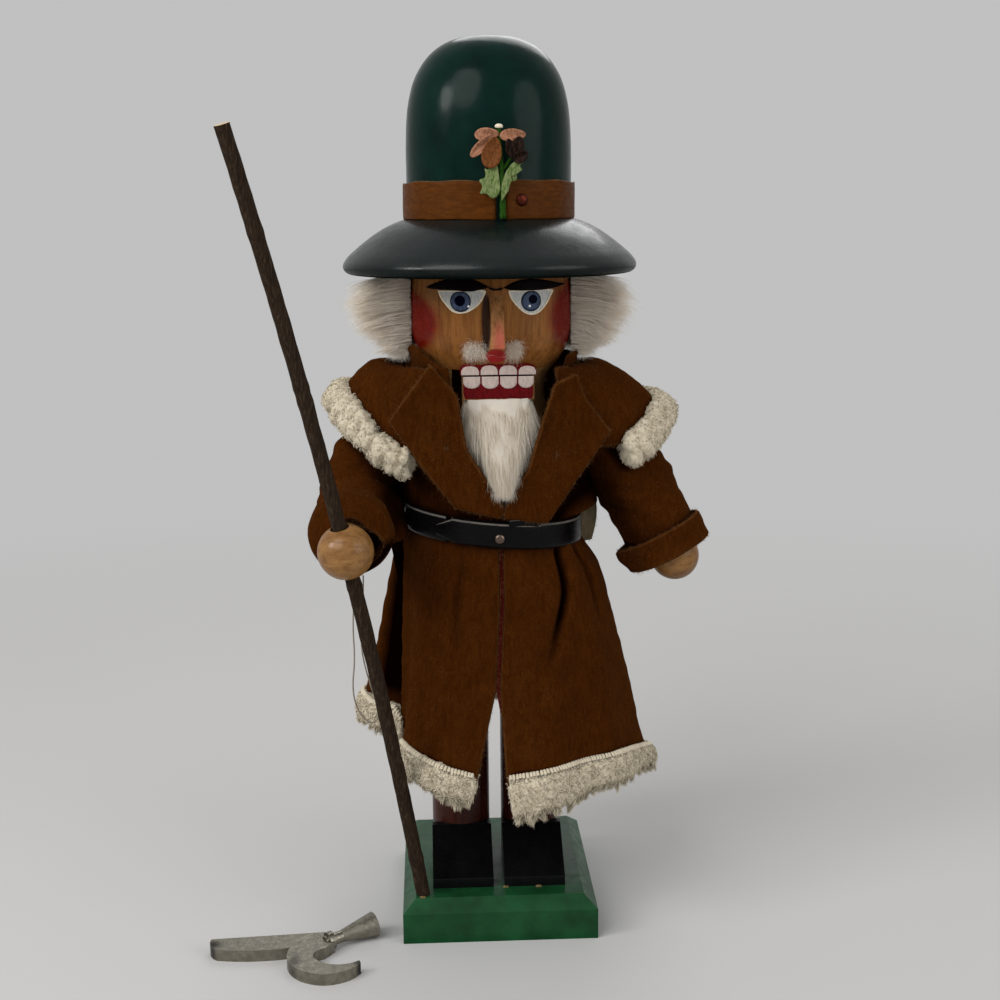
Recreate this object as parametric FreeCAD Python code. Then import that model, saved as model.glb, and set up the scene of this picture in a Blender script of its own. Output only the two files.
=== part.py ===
import FreeCAD, Part
import math
import os

# A wooden nutcracker figure in a felt coat, with a staff in its right hand.
# Millimetres. +Z is up, the figure faces -Y, and its own right side is -X.
# The origin is the middle of the underside of the base.

Vector = FreeCAD.Vector
UP = Vector(0, 0, 1)
ACROSS = Vector(1, 0, 0)
FORWARD = Vector(0, -1, 0)

# Clearances
cloth_gap = 0.3
moving_gap = 0.3
pin_running_gap = 0.05

# Base
base_width = 95.0
base_depth = 108.0
base_side_height = 15.1
base_chamfer_run = 6.35
base_chamfer_rise = 5.6
base_top = base_side_height + base_chamfer_rise

# Legs and boots
leg_radius = 14.7
leg_spacing = 35.4
leg_centre_y = 5.0
boot_width = 30.0
boot_toe_y = -37.8
boot_toe_height = 5.0
boot_instep_height = 21.5
boot_lap = 4.0
leg_dowel_radius = 4.0
leg_dowel_depth = 11.0

# Body, turned in one piece up to the line of the mouth
body_bottom_z = 150.0
body_bottom_radius = 36.5
chest_radius = 39.5
chest_bottom_z = 176.0
chest_top_z = 238.0
shoulder_drop = 18.0
shoulder_radius = 29.5
neck_radius = 26.0
neck_z = chest_top_z + 25.0
mouth_line_z = chest_top_z + 38.5
mouth_line_radius = 31.2

# Head
jowl_radius = 37.0
jowl_z = mouth_line_z + 9.5
head_radius = 39.5
cheek_z = mouth_line_z + 17.5
brow_z = mouth_line_z + 32.5
head_top_z = mouth_line_z + 43.5
head_top_radius = 38.2

# Slot for the lever and the hollow that holds the nut
slot_half_width = 19.3
slot_floor_z = chest_top_z - 30.0
nut_hollow_radius = 13.0
nut_hollow_y = -8.0

# Jaw lever
jaw_left_x = 19.0
jaw_right_x = -14.7
jaw_front_y = -33.5
jaw_beard_step = 4.0
jaw_lip_z = mouth_line_z - 13.5
jaw_bottom_z = mouth_line_z - 52.5
pivot_y = 2.0
pivot_z = chest_top_z
pivot_radius = 2.5
pivot_half_length = 37.5
hub_radius = 15.0
lever_heel_y = 8.0
lever_heel_z = pivot_z + 30.0
handle_width = 24.0
handle_start_y = 14.0
handle_bend_y = 62.0
handle_end_z = body_bottom_z
handle_thickness = 12.0
handle_side_gap = 2.5
handle_swing_top_z = mouth_line_z + 1.0

# Dowels that join head, body and hat
neck_dowel_radius = 2.5
neck_dowel_x = 24.8
neck_dowel_reach = 9.0
hat_dowel_radius = 5.0
hat_dowel_depth = 14.0
hat_dowel_rise = 40.0

# Nose and moustache
nose_top_z = head_top_z - 6.0
nose_tip_z = head_top_z - 32.0
nose_width = 7.2
nose_depth = 9.0
moustache_z = nose_tip_z
moustache_spread = 9.5
moustache_radius = 5.0

# Hair, a strip of white fur from temple to temple round the back
hair_thickness = 25.0
hair_top_z = head_top_z - 0.5
hair_bottom_z = head_top_z - 38.5
hair_front_deg = -14.0

# Beard
beard_top_half_width = 16.6
beard_tip_z = jaw_lip_z - 43.0
beard_tip_x = 4.0
beard_depth = 14.5

# Hat
brim_radius = 70.4
brim_edge_z = head_top_z + 4.4
brim_crown_z = head_top_z + 26.0
crown_radius = 39.2
crown_height = 84.0
hat_top_z = brim_crown_z + crown_height
crown_straight_z = hat_top_z - 38.0
band_width = 17.0
band_thickness = 1.8
band_gap_deg = 4.0
band_gap_centre_deg = -79.0
rivet_radius = 2.2
rivet_height = 1.0
hat_rivet_deg = -71.0

# Sprig on the front of the hat
sprig_x = 6.7
sprig_stem_radius = 1.7
sprig_top_z = brim_crown_z + 40.0
petal_thickness = 1.4

# Arms
shoulder_x = 52.5
shoulder_z = chest_top_z + 9.5
upper_arm_radius = 8.0
forearm_radius = 7.0
shoulder_peg_radius = 3.5
shoulder_peg_length = 26.0
right_elbow = Vector(-68.0, -11.0, shoulder_z - 35.5)
right_hand_centre = Vector(-69.0, -80.0, shoulder_z - 45.5)
right_hand_radius = 12.6
left_elbow = Vector(73.5, -1.0, shoulder_z - 34.5)
left_hand_centre = Vector(89.8, -10.0, shoulder_z - 66.3)
left_hand_radius = 12.0
wrist_overlap = 0.35

# Staff, gently bowed
staff_radius = 3.4
staff_foot = Vector(-37.7, -43.3, base_top + moving_gap)
staff_top = Vector(-110.0, -115.0, 384.9)
staff_hole_gap = 0.9
staff_bow = 5.2

# Felt coat
felt = 2.0
coat_radius = chest_radius + cloth_gap + felt
coat_waist_z = chest_top_z - 40.0
opening_half_width = 25.0
opening_bottom_z = chest_top_z - 29.5
lapel_curve_radius = 140.0
skirt_flare_z = coat_waist_z - 8.5
split_gap = 0.8
split_end_z = 128.0
split_hem_half_width = 7.0
hem_z = 88.5
hem_tilt_deg = 2.6
trim_height = 15.0
trim_thickness = 7.0

# Belt
belt_width = 12.0
belt_thickness = 1.7
belt_centre_z = coat_waist_z + 2.4
belt_tilt_deg = 5.2
belt_slack = 0.6
belt_rivet_x = 1.5

# Sleeves and cuffs
shoulder_opening_radius = 16.0
right_sleeve_radius = 16.8
right_sleeve_turn = Vector(-59.0, -2.0, shoulder_z - 15.5)
right_sleeve_elbow = Vector(-68.4, -13.5, shoulder_z - 35.5)
right_sleeve_wrist = Vector(-68.8, -56.0, shoulder_z - 43.5)
right_cuff_length = 15.0
right_cuff_turned_back = 7.0
left_sleeve_radius = 18.8
left_sleeve_turn = Vector(60.5, 0.0, shoulder_z - 16.5)
left_sleeve_elbow = Vector(73.5, -1.5, shoulder_z - 36.5)
left_sleeve_wrist = Vector(84.6, -5.6, shoulder_z - 58.1)
left_cuff_length = 16.0
left_cuff_turned_back = 8.0
cuff_thickness = 2.2

# Shoulder capes
cape_neck_radius = 44.6
cape_neck_z = mouth_line_z + 0.5
cape_back_gap_deg = 24.0
cape_trim_width = 12.5
cape_trim_thickness = 11.0
collar_radius = 39.8
collar_top_z = mouth_line_z + 4.5
collar_bottom_z = neck_z - 0.5

# Loose hook head of the staff, lying beside the base
hook_plate = 5.8
hook_socket_mouth_radius = 6.2
hook_socket_neck_radius = 2.9
hook_bead_radius = 4.35
hook_socket_depth = 11.0
hook_socket_gap = 0.4

# Thread that hangs in a loop under the right cuff
thread_diameter = 0.7

pieces = {}


def box_between(low, high):
    size = high - low
    return Part.makeBox(size.x, size.y, size.z, low)


def rod(start, end, radius):
    along = end - start
    return Part.makeCylinder(radius, along.Length, start, along)


def face_of(edges):
    return Part.Face(Part.Wire(edges))


def line(a, b):
    return Part.LineSegment(a, b).toShape()


def arc(a, b, c):
    return Part.Arc(a, b, c).toShape()


def polygon_face(points):
    return Part.Face(Part.makePolygon(points + [points[0]]))


def turned_edges(edges, bottom, top):
    """Turns an outline of joined edges, in the XZ plane, round the Z axis."""
    low = Vector(0, 0, bottom.z)
    high = Vector(0, 0, top.z)
    outline = list(edges) + [line(top, high), line(high, low), line(low, bottom)]
    return face_of(outline).revolve(Vector(0, 0, 0), UP, 360)


def turned(points):
    """Turns a straight-sided outline of (radius, height) pairs round the Z axis."""
    corners = [Vector(r, 0, z) for r, z in points]
    return polygon_face(corners).revolve(Vector(0, 0, 0), UP, 360)


def round_section(centre, normal, radius):
    return Part.Wire(Part.Circle(centre, normal, radius).toShape())


def tube_loft(stations, thickness):
    """A felt tube through (centre, normal, radius) stations, open at both ends."""
    outer = Part.makeLoft([round_section(c, n, r) for c, n, r in stations], True)
    inner = Part.makeLoft([round_section(c, n, r - thickness) for c, n, r in stations], True)
    return outer.cut(inner)


def around(radius, degrees, z):
    angle = math.radians(degrees)
    return Vector(radius * math.cos(angle), radius * math.sin(angle), z)


# Base, legs and boots

def make_base():
    block = box_between(
        Vector(-base_width / 2, -base_depth / 2, 0),
        Vector(base_width / 2, base_depth / 2, base_side_height),
    )
    half_x, half_y = base_width / 2, base_depth / 2
    inner_x, inner_y = half_x - base_chamfer_run, half_y - base_chamfer_run

    def rectangle(x, y, z):
        corners = [Vector(-x, -y, z), Vector(x, -y, z), Vector(x, y, z), Vector(-x, y, z)]
        return Part.makePolygon(corners + [corners[0]])

    cap = Part.makeLoft(
        [rectangle(half_x, half_y, base_side_height), rectangle(inner_x, inner_y, base_top)],
        True,
        True,
    )
    plinth = block.fuse(cap).removeSplitter()
    for side in (-1, 1):
        x = side * leg_spacing / 2
        plinth = plinth.cut(
            rod(Vector(x, leg_centre_y, base_top - leg_dowel_depth),
                Vector(x, leg_centre_y, base_top + 1), leg_dowel_radius)
        )
    pieces["base_plinth"] = plinth


def make_leg(name, side):
    x = side * leg_spacing / 2
    foot = Vector(x, leg_centre_y, base_top)
    hip = Vector(x, leg_centre_y, body_bottom_z)
    leg = rod(foot, hip, leg_radius)
    for end, reach in ((foot, leg_dowel_depth), (hip, -leg_dowel_depth)):
        leg = leg.cut(rod(end - UP * math.copysign(1, reach), end + UP * reach, leg_dowel_radius))
    pieces[name + "_leg"] = leg

    front = leg_centre_y - leg_radius
    instep_z = base_top + boot_instep_height
    profile = [
        Vector(x - boot_width / 2, boot_toe_y, base_top),
        Vector(x - boot_width / 2, boot_toe_y, base_top + boot_toe_height),
        Vector(x - boot_width / 2, front, instep_z),
        Vector(x - boot_width / 2, front + boot_lap, instep_z),
        Vector(x - boot_width / 2, front + boot_lap, base_top),
    ]
    boot = polygon_face(profile).extrude(ACROSS * boot_width)
    pieces[name + "_boot"] = boot.cut(rod(foot - UP, hip, leg_radius))


def make_leg_dowels():
    dowels = []
    for side in (-1, 1):
        for joint_z in (base_top, body_bottom_z):
            low = Vector(side * leg_spacing / 2, leg_centre_y, joint_z - leg_dowel_depth)
            dowels.append(rod(low, low + UP * 2 * leg_dowel_depth, leg_dowel_radius))
    pieces["leg_dowels"] = Part.makeCompound(dowels)


# Body and head

def shoulder_arc_points(outward):
    """The rounding from the chest to the neck, moved outward by a distance."""
    radius = shoulder_drop + outward
    centre = Vector(chest_radius - shoulder_drop, 0, chest_top_z)
    start = centre + Vector(radius, 0, 0)
    end_angle = math.acos((shoulder_radius - centre.x) / shoulder_drop)

    def at(angle):
        return centre + Vector(radius * math.cos(angle), 0, radius * math.sin(angle))

    return start, at(end_angle / 2), at(end_angle)


def nut_hollow():
    start = Vector(-slot_half_width, nut_hollow_y, mouth_line_z)
    return rod(start, start + ACROSS * 2 * slot_half_width, nut_hollow_radius)


def neck_dowel_rods():
    rods = []
    for side in (-1, 1):
        low = Vector(side * neck_dowel_x, 0, mouth_line_z - neck_dowel_reach)
        rods.append(rod(low, low + UP * 2 * neck_dowel_reach, neck_dowel_radius))
    return rods


def pivot_rod(radius, half_length):
    start = Vector(-half_length, pivot_y, pivot_z)
    return rod(start, start + ACROSS * 2 * half_length, radius)


def shoulder_peg(side):
    outer = Vector(side * (shoulder_x + 2), 0, shoulder_z)
    return rod(outer - ACROSS * side * shoulder_peg_length, outer, shoulder_peg_radius)


def make_body():
    bottom = Vector(body_bottom_radius, 0, body_bottom_z)
    waist = Vector(chest_radius, 0, chest_bottom_z)
    start, middle, end = shoulder_arc_points(0)
    mouth = Vector(mouth_line_radius, 0, mouth_line_z)
    edges = [
        line(bottom, waist),
        line(waist, start),
        arc(start, middle, end),
        arc(end, Vector(neck_radius, 0, neck_z), mouth),
    ]
    body = turned_edges(edges, bottom, mouth)
    slot = box_between(
        Vector(-slot_half_width, -2 * chest_radius, slot_floor_z),
        Vector(slot_half_width, 2 * chest_radius, mouth_line_z + 1),
    )
    body = body.cut(slot)
    body = body.cut(pivot_rod(pivot_radius, pivot_half_length))
    for dowel in neck_dowel_rods():
        body = body.cut(dowel)
    for side in (-1, 1):
        body = body.cut(shoulder_peg(side))
        hip = Vector(side * leg_spacing / 2, leg_centre_y, body_bottom_z)
        body = body.cut(rod(hip - UP, hip + UP * leg_dowel_depth, leg_dowel_radius))
    pieces["body"] = body
    pieces["neck_dowels"] = Part.makeCompound(neck_dowel_rods())
    pieces["shoulder_pegs"] = Part.makeCompound([shoulder_peg(side) for side in (-1, 1)])
    pieces["jaw_pivot_pin"] = pivot_rod(pivot_radius, pivot_half_length)


def hat_dowel(radius):
    low = Vector(0, 0, head_top_z - hat_dowel_depth)
    return rod(low, Vector(0, 0, head_top_z + hat_dowel_rise), radius)


def make_head():
    mouth = Vector(mouth_line_radius, 0, mouth_line_z)
    cheek = Vector(head_radius, 0, cheek_z)
    brow = Vector(head_radius, 0, brow_z)
    top = Vector(head_top_radius, 0, head_top_z)
    edges = [arc(mouth, Vector(jowl_radius, 0, jowl_z), cheek), line(cheek, brow), line(brow, top)]
    head = turned_edges(edges, mouth, top)
    head = head.cut(nut_hollow()).cut(hat_dowel(hat_dowel_radius))
    for dowel in neck_dowel_rods():
        head = head.cut(dowel)
    pieces["head"] = head
    pieces["hat_dowel"] = hat_dowel(hat_dowel_radius)


def make_nose():
    front = -head_radius + 1.5
    profile = [
        Vector(-nose_width / 2, front, nose_top_z),
        Vector(-nose_width / 2, -head_radius - nose_depth, nose_tip_z + 2),
        Vector(-nose_width / 2, -head_radius - nose_depth, nose_tip_z),
        Vector(-nose_width / 2, front, nose_tip_z),
    ]
    nose = polygon_face(profile).extrude(ACROSS * nose_width)
    nose.translate(ACROSS * 1.0)
    pieces["nose"] = nose.cut(pieces["head"])


def make_moustache():
    tufts = []
    for side in (-1, 1):
        centre = Vector(side * moustache_spread + 1.0, -jowl_radius - 0.6, moustache_z)
        tuft = Part.makeSphere(moustache_radius, centre)
        tufts.append(tuft.cut(pieces["head"]).cut(pieces["nose"]))
    pieces["moustache"] = Part.makeCompound(tufts)


def make_hair():
    inner = head_radius + cloth_gap
    outer = inner + hair_thickness
    middle_z = (hair_top_z + hair_bottom_z) / 2
    edges = [
        line(Vector(inner, 0, hair_top_z), Vector(outer - 4, 0, hair_top_z)),
        arc(Vector(outer - 4, 0, hair_top_z), Vector(outer + 2, 0, middle_z + 4),
            Vector(outer - 12, 0, hair_bottom_z)),
        line(Vector(outer - 12, 0, hair_bottom_z), Vector(inner, 0, hair_bottom_z)),
        line(Vector(inner, 0, hair_bottom_z), Vector(inner, 0, hair_top_z)),
    ]
    strip = face_of(edges)
    strip.rotate(Vector(0, 0, 0), UP, hair_front_deg)
    pieces["hair"] = strip.revolve(Vector(0, 0, 0), UP, 180 - 2 * hair_front_deg)


# Jaw lever and beard

def make_lever():
    """A board sawn to shape: the jaw in front, the hub on its pin, the handle behind."""
    hollow_front = nut_hollow_y - nut_hollow_radius
    top = mouth_line_z - moving_gap
    beard_y = jaw_front_y + jaw_beard_step
    inner_y = handle_bend_y - handle_thickness
    tip_y = handle_bend_y + 2
    tip_middle_y = tip_y - handle_thickness / 2

    def at(y, z):
        return Vector(jaw_right_x, y, z)

    tip_z = handle_end_z + handle_thickness / 2
    edges = [
        line(at(jaw_front_y, jaw_lip_z), at(jaw_front_y, top)),
        line(at(jaw_front_y, top), at(hollow_front, top)),
        arc(at(hollow_front, top), at(nut_hollow_y - 2, mouth_line_z - nut_hollow_radius),
            at(lever_heel_y - 6, lever_heel_z)),
        line(at(lever_heel_y - 6, lever_heel_z), at(lever_heel_y, lever_heel_z)),
        arc(at(lever_heel_y, lever_heel_z), at(19, pivot_z + 20), at(34, pivot_z + 14)),
        arc(at(34, pivot_z + 14), at(handle_bend_y - 5, pivot_z + 1), at(handle_bend_y, pivot_z - 22)),
        line(at(handle_bend_y, pivot_z - 22), at(tip_y, tip_z)),
        arc(at(tip_y, tip_z), at(tip_middle_y, handle_end_z), at(tip_y - handle_thickness, tip_z)),
        line(at(tip_y - handle_thickness, tip_z), at(inner_y, pivot_z - 26)),
        arc(at(inner_y, pivot_z - 26), at(inner_y - 5, pivot_z - 15), at(32, pivot_z - 11)),
        arc(at(32, pivot_z - 11), at(pivot_y, pivot_z - hub_radius), at(-20, jaw_bottom_z + 2)),
        line(at(-20, jaw_bottom_z + 2), at(beard_y, jaw_bottom_z + 2)),
        line(at(beard_y, jaw_bottom_z + 2), at(beard_y, jaw_lip_z)),
        line(at(beard_y, jaw_lip_z), at(jaw_front_y, jaw_lip_z)),
    ]
    lever = face_of(edges).extrude(ACROSS * (jaw_left_x - jaw_right_x))
    for side in (-1, 1):
        inner = side * handle_width / 2
        outer = side * base_width
        side_cut = box_between(
            Vector(min(inner, outer), handle_start_y, handle_end_z - 10),
            Vector(max(inner, outer), handle_bend_y + 20, mouth_line_z),
        )
        lever = lever.cut(side_cut)
    pieces["jaw_lever"] = lever.cut(pivot_rod(pivot_radius + pin_running_gap, pivot_half_length))


def make_beard():
    """A wedge of fur glued to the step below the lip, leaning out over the coat."""
    step_y = jaw_front_y + jaw_beard_step
    coat_front = -(coat_radius + felt + 3 * cloth_gap)
    top_x = (jaw_left_x + jaw_right_x) / 2
    rows = (
        (jaw_lip_z, step_y, top_x, 1.0, 0.5),
        (jaw_lip_z - 13.0, step_y - 1.0, top_x + 0.4, 0.84, 0.9),
        (jaw_lip_z - 27.0, step_y - 8.0, top_x + 1.0, 0.5, 0.8),
        (beard_tip_z, coat_front, beard_tip_x, 0.12, 0.3),
    )
    stations = []
    for z, back, x, width, depth in rows:
        half = beard_top_half_width * width
        left = Vector(x - half, back, z)
        right = Vector(x + half, back, z)
        front = Vector(x, back - beard_depth * depth, z)
        stations.append(Part.Wire([arc(left, front, right), line(right, left)]))
    pieces["beard"] = Part.makeLoft(stations, True, True)


# Hat

def make_hat():
    brim_points = [
        (hat_dowel_radius, head_top_z),
        (brim_radius - 4, head_top_z + 0.4),
        (brim_radius - 0.8, head_top_z + 2.0),
        (brim_radius, brim_edge_z),
        (brim_radius - 1.6, brim_edge_z + 3.0),
        (brim_radius - 7.0, brim_edge_z + 8.2),
        (brim_radius - 14.4, brim_crown_z - 7.5),
        (brim_radius - 22.4, brim_crown_z - 3.0),
        (crown_radius + 1.8, brim_crown_z),
        (hat_dowel_radius, brim_crown_z),
    ]
    pieces["hat_brim"] = turned(brim_points)
    crown_profile = [
        (crown_radius, brim_crown_z),
        (crown_radius, (brim_crown_z + crown_straight_z) / 2),
        (crown_radius - 0.6, crown_straight_z),
        (crown_radius - 4.3, hat_top_z - 20.0),
        (crown_radius - 9.3, hat_top_z - 11.0),
        (crown_radius - 17.3, hat_top_z - 4.0),
        (0.0, hat_top_z),
    ]
    points = [Vector(r, 0, z) for r, z in crown_profile]
    curve = Part.BSplineCurve()
    curve.interpolate(points, InitialTangent=UP, FinalTangent=Vector(-1, 0, 0))
    foot = Vector(0, 0, brim_crown_z)
    edges = [curve.toShape(), line(points[-1], foot), line(foot, points[0])]
    crown = face_of(edges).revolve(Vector(0, 0, 0), UP, 360)
    pieces["hat_crown"] = crown.cut(hat_dowel(hat_dowel_radius))


def make_hat_band():
    inner = crown_radius
    outer = inner + band_thickness
    corners = [
        Vector(inner, 0, brim_crown_z),
        Vector(outer, 0, brim_crown_z),
        Vector(outer, 0, brim_crown_z + band_width),
        Vector(inner, 0, brim_crown_z + band_width),
    ]
    strap = polygon_face(corners)
    strap.rotate(Vector(0, 0, 0), UP, band_gap_centre_deg + band_gap_deg / 2)
    pieces["hat_band"] = strap.revolve(Vector(0, 0, 0), UP, 360 - band_gap_deg)
    seat = around(outer, hat_rivet_deg, brim_crown_z + band_width / 2)
    outward = around(1, hat_rivet_deg, 0)
    pieces["hat_band_rivet"] = rod(seat - outward * band_thickness / 2, seat + outward * rivet_height,
                                   rivet_radius).cut(pieces["hat_band"])


def leaf_plate(outline, y):
    """A thin flat leaf standing in front of the hat, through points over the brim."""
    points = [Vector(x, y, brim_crown_z + z) for x, z in outline]
    return polygon_face(points).extrude(FORWARD * petal_thickness)


def oval_plate(x, z, long_half, short_half, lean_deg, y):
    ring = Part.Ellipse(Vector(0, 0, 0), long_half, short_half).toShape()
    plate = Part.Face(Part.Wire(ring)).extrude(UP * petal_thickness)
    plate.rotate(Vector(0, 0, 0), UP, lean_deg)
    plate.rotate(Vector(0, 0, 0), ACROSS, 90)
    plate.translate(Vector(x, y, z))
    return plate


def make_sprig():
    front = -(crown_radius + band_thickness + sprig_stem_radius)
    stem = rod(Vector(sprig_x, front, brim_crown_z), Vector(sprig_x - 3.5, front, sprig_top_z),
               sprig_stem_radius)
    pieces["sprig_stem"] = stem
    face_y = front - sprig_stem_radius
    pink = (
        (-2.4, 37.0, 5.8, 2.2, 0),
        (9.6, 36.6, 5.8, 2.2, 0),
        (-4.6, 29.4, 6.2, 2.4, 40),
    )
    petals = [oval_plate(x, brim_crown_z + z, a, b, lean, face_y) for x, z, a, b, lean in pink]
    brown = oval_plate(0.6, brim_crown_z + 29.6, 6.6, 4.2, 62, face_y - petal_thickness)
    pieces["sprig_petals"] = Part.makeCompound([petals[0], petals[1], petals[2]])
    pieces["sprig_large_petal"] = brown
    dark = (
        (12.2, 30.0, 6.0, 2.6, 78),
        (13.6, 23.6, 3.4, 2.6, 20),
    )
    front_y = face_y - petal_thickness
    dark_parts = [oval_plate(x, brim_crown_z + z, a, b, lean, front_y) for x, z, a, b, lean in dark]
    pieces["sprig_dark_petals"] = dark_parts[0].fuse(dark_parts[1])
    left_leaf = [(5.6, 15.0), (1.6, 24.6), (-2.4, 22.8), (-2.2, 18.6), (-6.2, 17.4),
                 (-5.0, 12.4), (0.4, 10.6)]
    right_leaf = [(7.4, 6.0), (4.4, 16.0), (8.4, 24.4), (10.4, 19.0), (14.8, 18.6),
                  (11.6, 14.0)]
    pieces["sprig_leaves"] = leaf_plate(left_leaf, face_y).fuse(leaf_plate(right_leaf, face_y))


# Arms, hands and staff

def staff_points():
    middle = (staff_foot + staff_top) * 0.5
    side = (staff_top - staff_foot).cross(FORWARD)
    side.normalize()
    return staff_foot, middle + side * staff_bow, staff_top


def staff_curve():
    foot, middle, top = staff_points()
    return Part.Arc(foot, middle, top)


def staff_solid(radius):
    """A bowed stick: a ruled run through round sections square to its bow."""
    curve = staff_curve()
    first, last = curve.FirstParameter, curve.LastParameter
    steps = 8
    sections = []
    for i in range(steps + 1):
        u = first + (last - first) * i / steps
        sections.append(round_section(curve.value(u), curve.tangent(u)[0], radius))
    return Part.makeLoft(sections, True, False)


def point_on_staff(height):
    """The staff's centre and direction at a height."""
    curve = staff_curve()
    low, high = curve.FirstParameter, curve.LastParameter
    for _ in range(50):
        middle = (low + high) / 2
        if curve.value(middle).z < height:
            low = middle
        else:
            high = middle
    direction = curve.tangent(low)[0]
    return curve.value(low), direction


def limb(start, end, radius):
    return rod(start, end, radius).fuse(Part.makeSphere(radius, end)).removeSplitter()


def make_arm(name, side, elbow, hand, hand_radius):
    shoulder = Vector(side * shoulder_x, 0, shoulder_z)
    upper = limb(shoulder, elbow, upper_arm_radius).cut(shoulder_peg(side))
    reach = hand - elbow
    wrist = hand - reach * (wrist_overlap * hand_radius / reach.Length)
    ball = Part.makeSphere(hand_radius, hand)
    forearm = rod(elbow, wrist, forearm_radius).cut(ball).cut(upper)
    pieces[name + "_upper_arm"] = upper
    pieces[name + "_forearm"] = forearm
    return ball


def make_arms_and_staff():
    grip, direction = point_on_staff(right_hand_centre.z)
    hole = rod(grip - direction * 30, grip + direction * 30, staff_radius + staff_hole_gap)
    ball = make_arm("right", -1, right_elbow, grip, right_hand_radius)
    pieces["right_hand"] = ball.cut(hole)
    pieces["left_hand"] = make_arm("left", 1, left_elbow, left_hand_centre, left_hand_radius)
    room = 2 * hat_top_z
    flat = box_between(Vector(-room, -room, base_top + moving_gap), Vector(room, room, room))
    pieces["staff"] = staff_solid(staff_radius).common(flat)
    print("staff passes the hand at", [round(v, 2) for v in grip], "along",
          [round(v, 4) for v in direction])


# Coat

def bodice_shell():
    """Felt wrapped round the chest and over the rounding of the shoulders."""
    inner = shoulder_arc_points(cloth_gap)
    outer = shoulder_arc_points(cloth_gap + felt)
    low_inner = Vector(inner[0].x, 0, coat_waist_z)
    low_outer = Vector(outer[0].x, 0, coat_waist_z)
    edges = [
        line(low_outer, outer[0]),
        arc(*outer),
        line(outer[2], inner[2]),
        arc(inner[2], inner[1], inner[0]),
        line(inner[0], low_inner),
        line(low_inner, low_outer),
    ]
    return face_of(edges).revolve(Vector(0, 0, 0), UP, 360)


def back_slit():
    """Room for the lever's handle through the middle of the back."""
    half = handle_width / 2 + handle_side_gap
    low_z = slot_floor_z + 4
    return box_between(Vector(-half, handle_start_y, low_z), Vector(half, 100, handle_swing_top_z))


def make_bodice():
    middle_x = (jaw_left_x + jaw_right_x) / 2
    beside_jaw = jaw_left_x - middle_x + 2.0
    opening = polygon_face([
        Vector(beard_tip_x, -100, opening_bottom_z),
        Vector(middle_x + beside_jaw, -100, chest_top_z - 2),
        Vector(middle_x + opening_half_width, -100, neck_z),
        Vector(middle_x - opening_half_width, -100, neck_z),
        Vector(middle_x - beside_jaw, -100, chest_top_z - 2),
    ]).extrude(Vector(0, 100, 0))
    bodice = bodice_shell().cut(opening).cut(back_slit())
    for side in (-1, 1):
        bodice = bodice.cut(shoulder_peg(side))
    pieces["coat_bodice"] = bodice


def lapel_shell():
    front = -coat_radius - cloth_gap
    centre = Vector(0, front + lapel_curve_radius, coat_waist_z)
    height = 100.0
    outer = Part.makeCylinder(lapel_curve_radius + felt, height, centre)
    return outer.cut(Part.makeCylinder(lapel_curve_radius, height, centre))


def make_lapels():
    shell = lapel_shell()
    outlines = {
        "right_lapel": [(-29.5, 82.0), (-48.6, 56.0), (-35.0, 37.2), (-18.6, 16.2),
                        (1.8, 11.3), (3.6, 14.6), (-14.2, 43.0), (-18.2, 68.3)],
        "left_lapel": [(38.0, 76.7), (42.3, 64.8), (54.1, 49.4), (37.5, 27.3), (24.5, 8.2),
                       (4.4, 10.8), (4.6, 14.6), (16.1, 33.2), (23.2, 56.4), (28.5, 72.5)],
    }
    for name, outline in outlines.items():
        points = [Vector(x, -100, coat_waist_z + z) for x, z in outline]
        prism = polygon_face(points).extrude(Vector(0, 100, 0))
        pieces[name] = shell.common(prism)


def make_collar():
    """A stand-up collar round the back and sides of the neck."""
    corners = [
        Vector(collar_radius - 4.6, 0, collar_bottom_z),
        Vector(collar_radius - 4.6 + felt, 0, collar_bottom_z),
        Vector(collar_radius + felt, 0, collar_top_z),
        Vector(collar_radius, 0, collar_top_z),
    ]
    strip = polygon_face(corners)
    strip.rotate(Vector(0, 0, 0), UP, -32)
    collar = strip.revolve(Vector(0, 0, 0), UP, 244)
    pieces["collar"] = collar.cut(back_slit())


def cape_frame(degrees, edge_radius, edge_z):
    """Neck point, edge point, direction down the cape and direction out of it."""
    neck = around(cape_neck_radius, degrees, cape_neck_z)
    edge = around(edge_radius, degrees, edge_z)
    outward = around(1, degrees, 0)
    run = edge - neck
    normal = outward * (-run.z) + UP * (run.x * outward.x + run.y * outward.y)
    run.normalize()
    normal.normalize()
    return neck, edge, run, normal


def cape_section(degrees, edge_radius, edge_z, lift):
    """One upright section of a shoulder cape, from the neck out to its edge."""
    neck, edge, _, normal = cape_frame(degrees, edge_radius, edge_z)
    middle = (neck + edge) * 0.5 + UP * lift
    inner = normal * (-felt)
    return Part.Wire([
        arc(neck, middle, edge),
        line(edge, edge + inner),
        arc(edge + inner, middle + inner, neck + inner),
        line(neck + inner, neck),
    ])


def trim_section(degrees, edge_radius, edge_z):
    """A pad of fleece sewn to the cape's edge."""
    _, edge, down, normal = cape_frame(degrees, edge_radius, edge_z)
    half = cape_trim_width / 2

    def at(along, out):
        return edge + down * along + normal * (out - felt / 2)

    root = felt / 2
    high = cape_trim_thickness / 2
    tip = cape_trim_width
    return Part.Wire([
        line(at(0, root), at(1, high - 1.5)),
        arc(at(1, high - 1.5), at(half, high), at(tip - 1, root)),
        arc(at(tip - 1, root), at(tip, 0), at(tip - 1, -root)),
        arc(at(tip - 1, -root), at(half, -high), at(1, 1.5 - high)),
        line(at(1, 1.5 - high), at(0, -root)),
        line(at(0, -root), at(0, root)),
    ])


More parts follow.
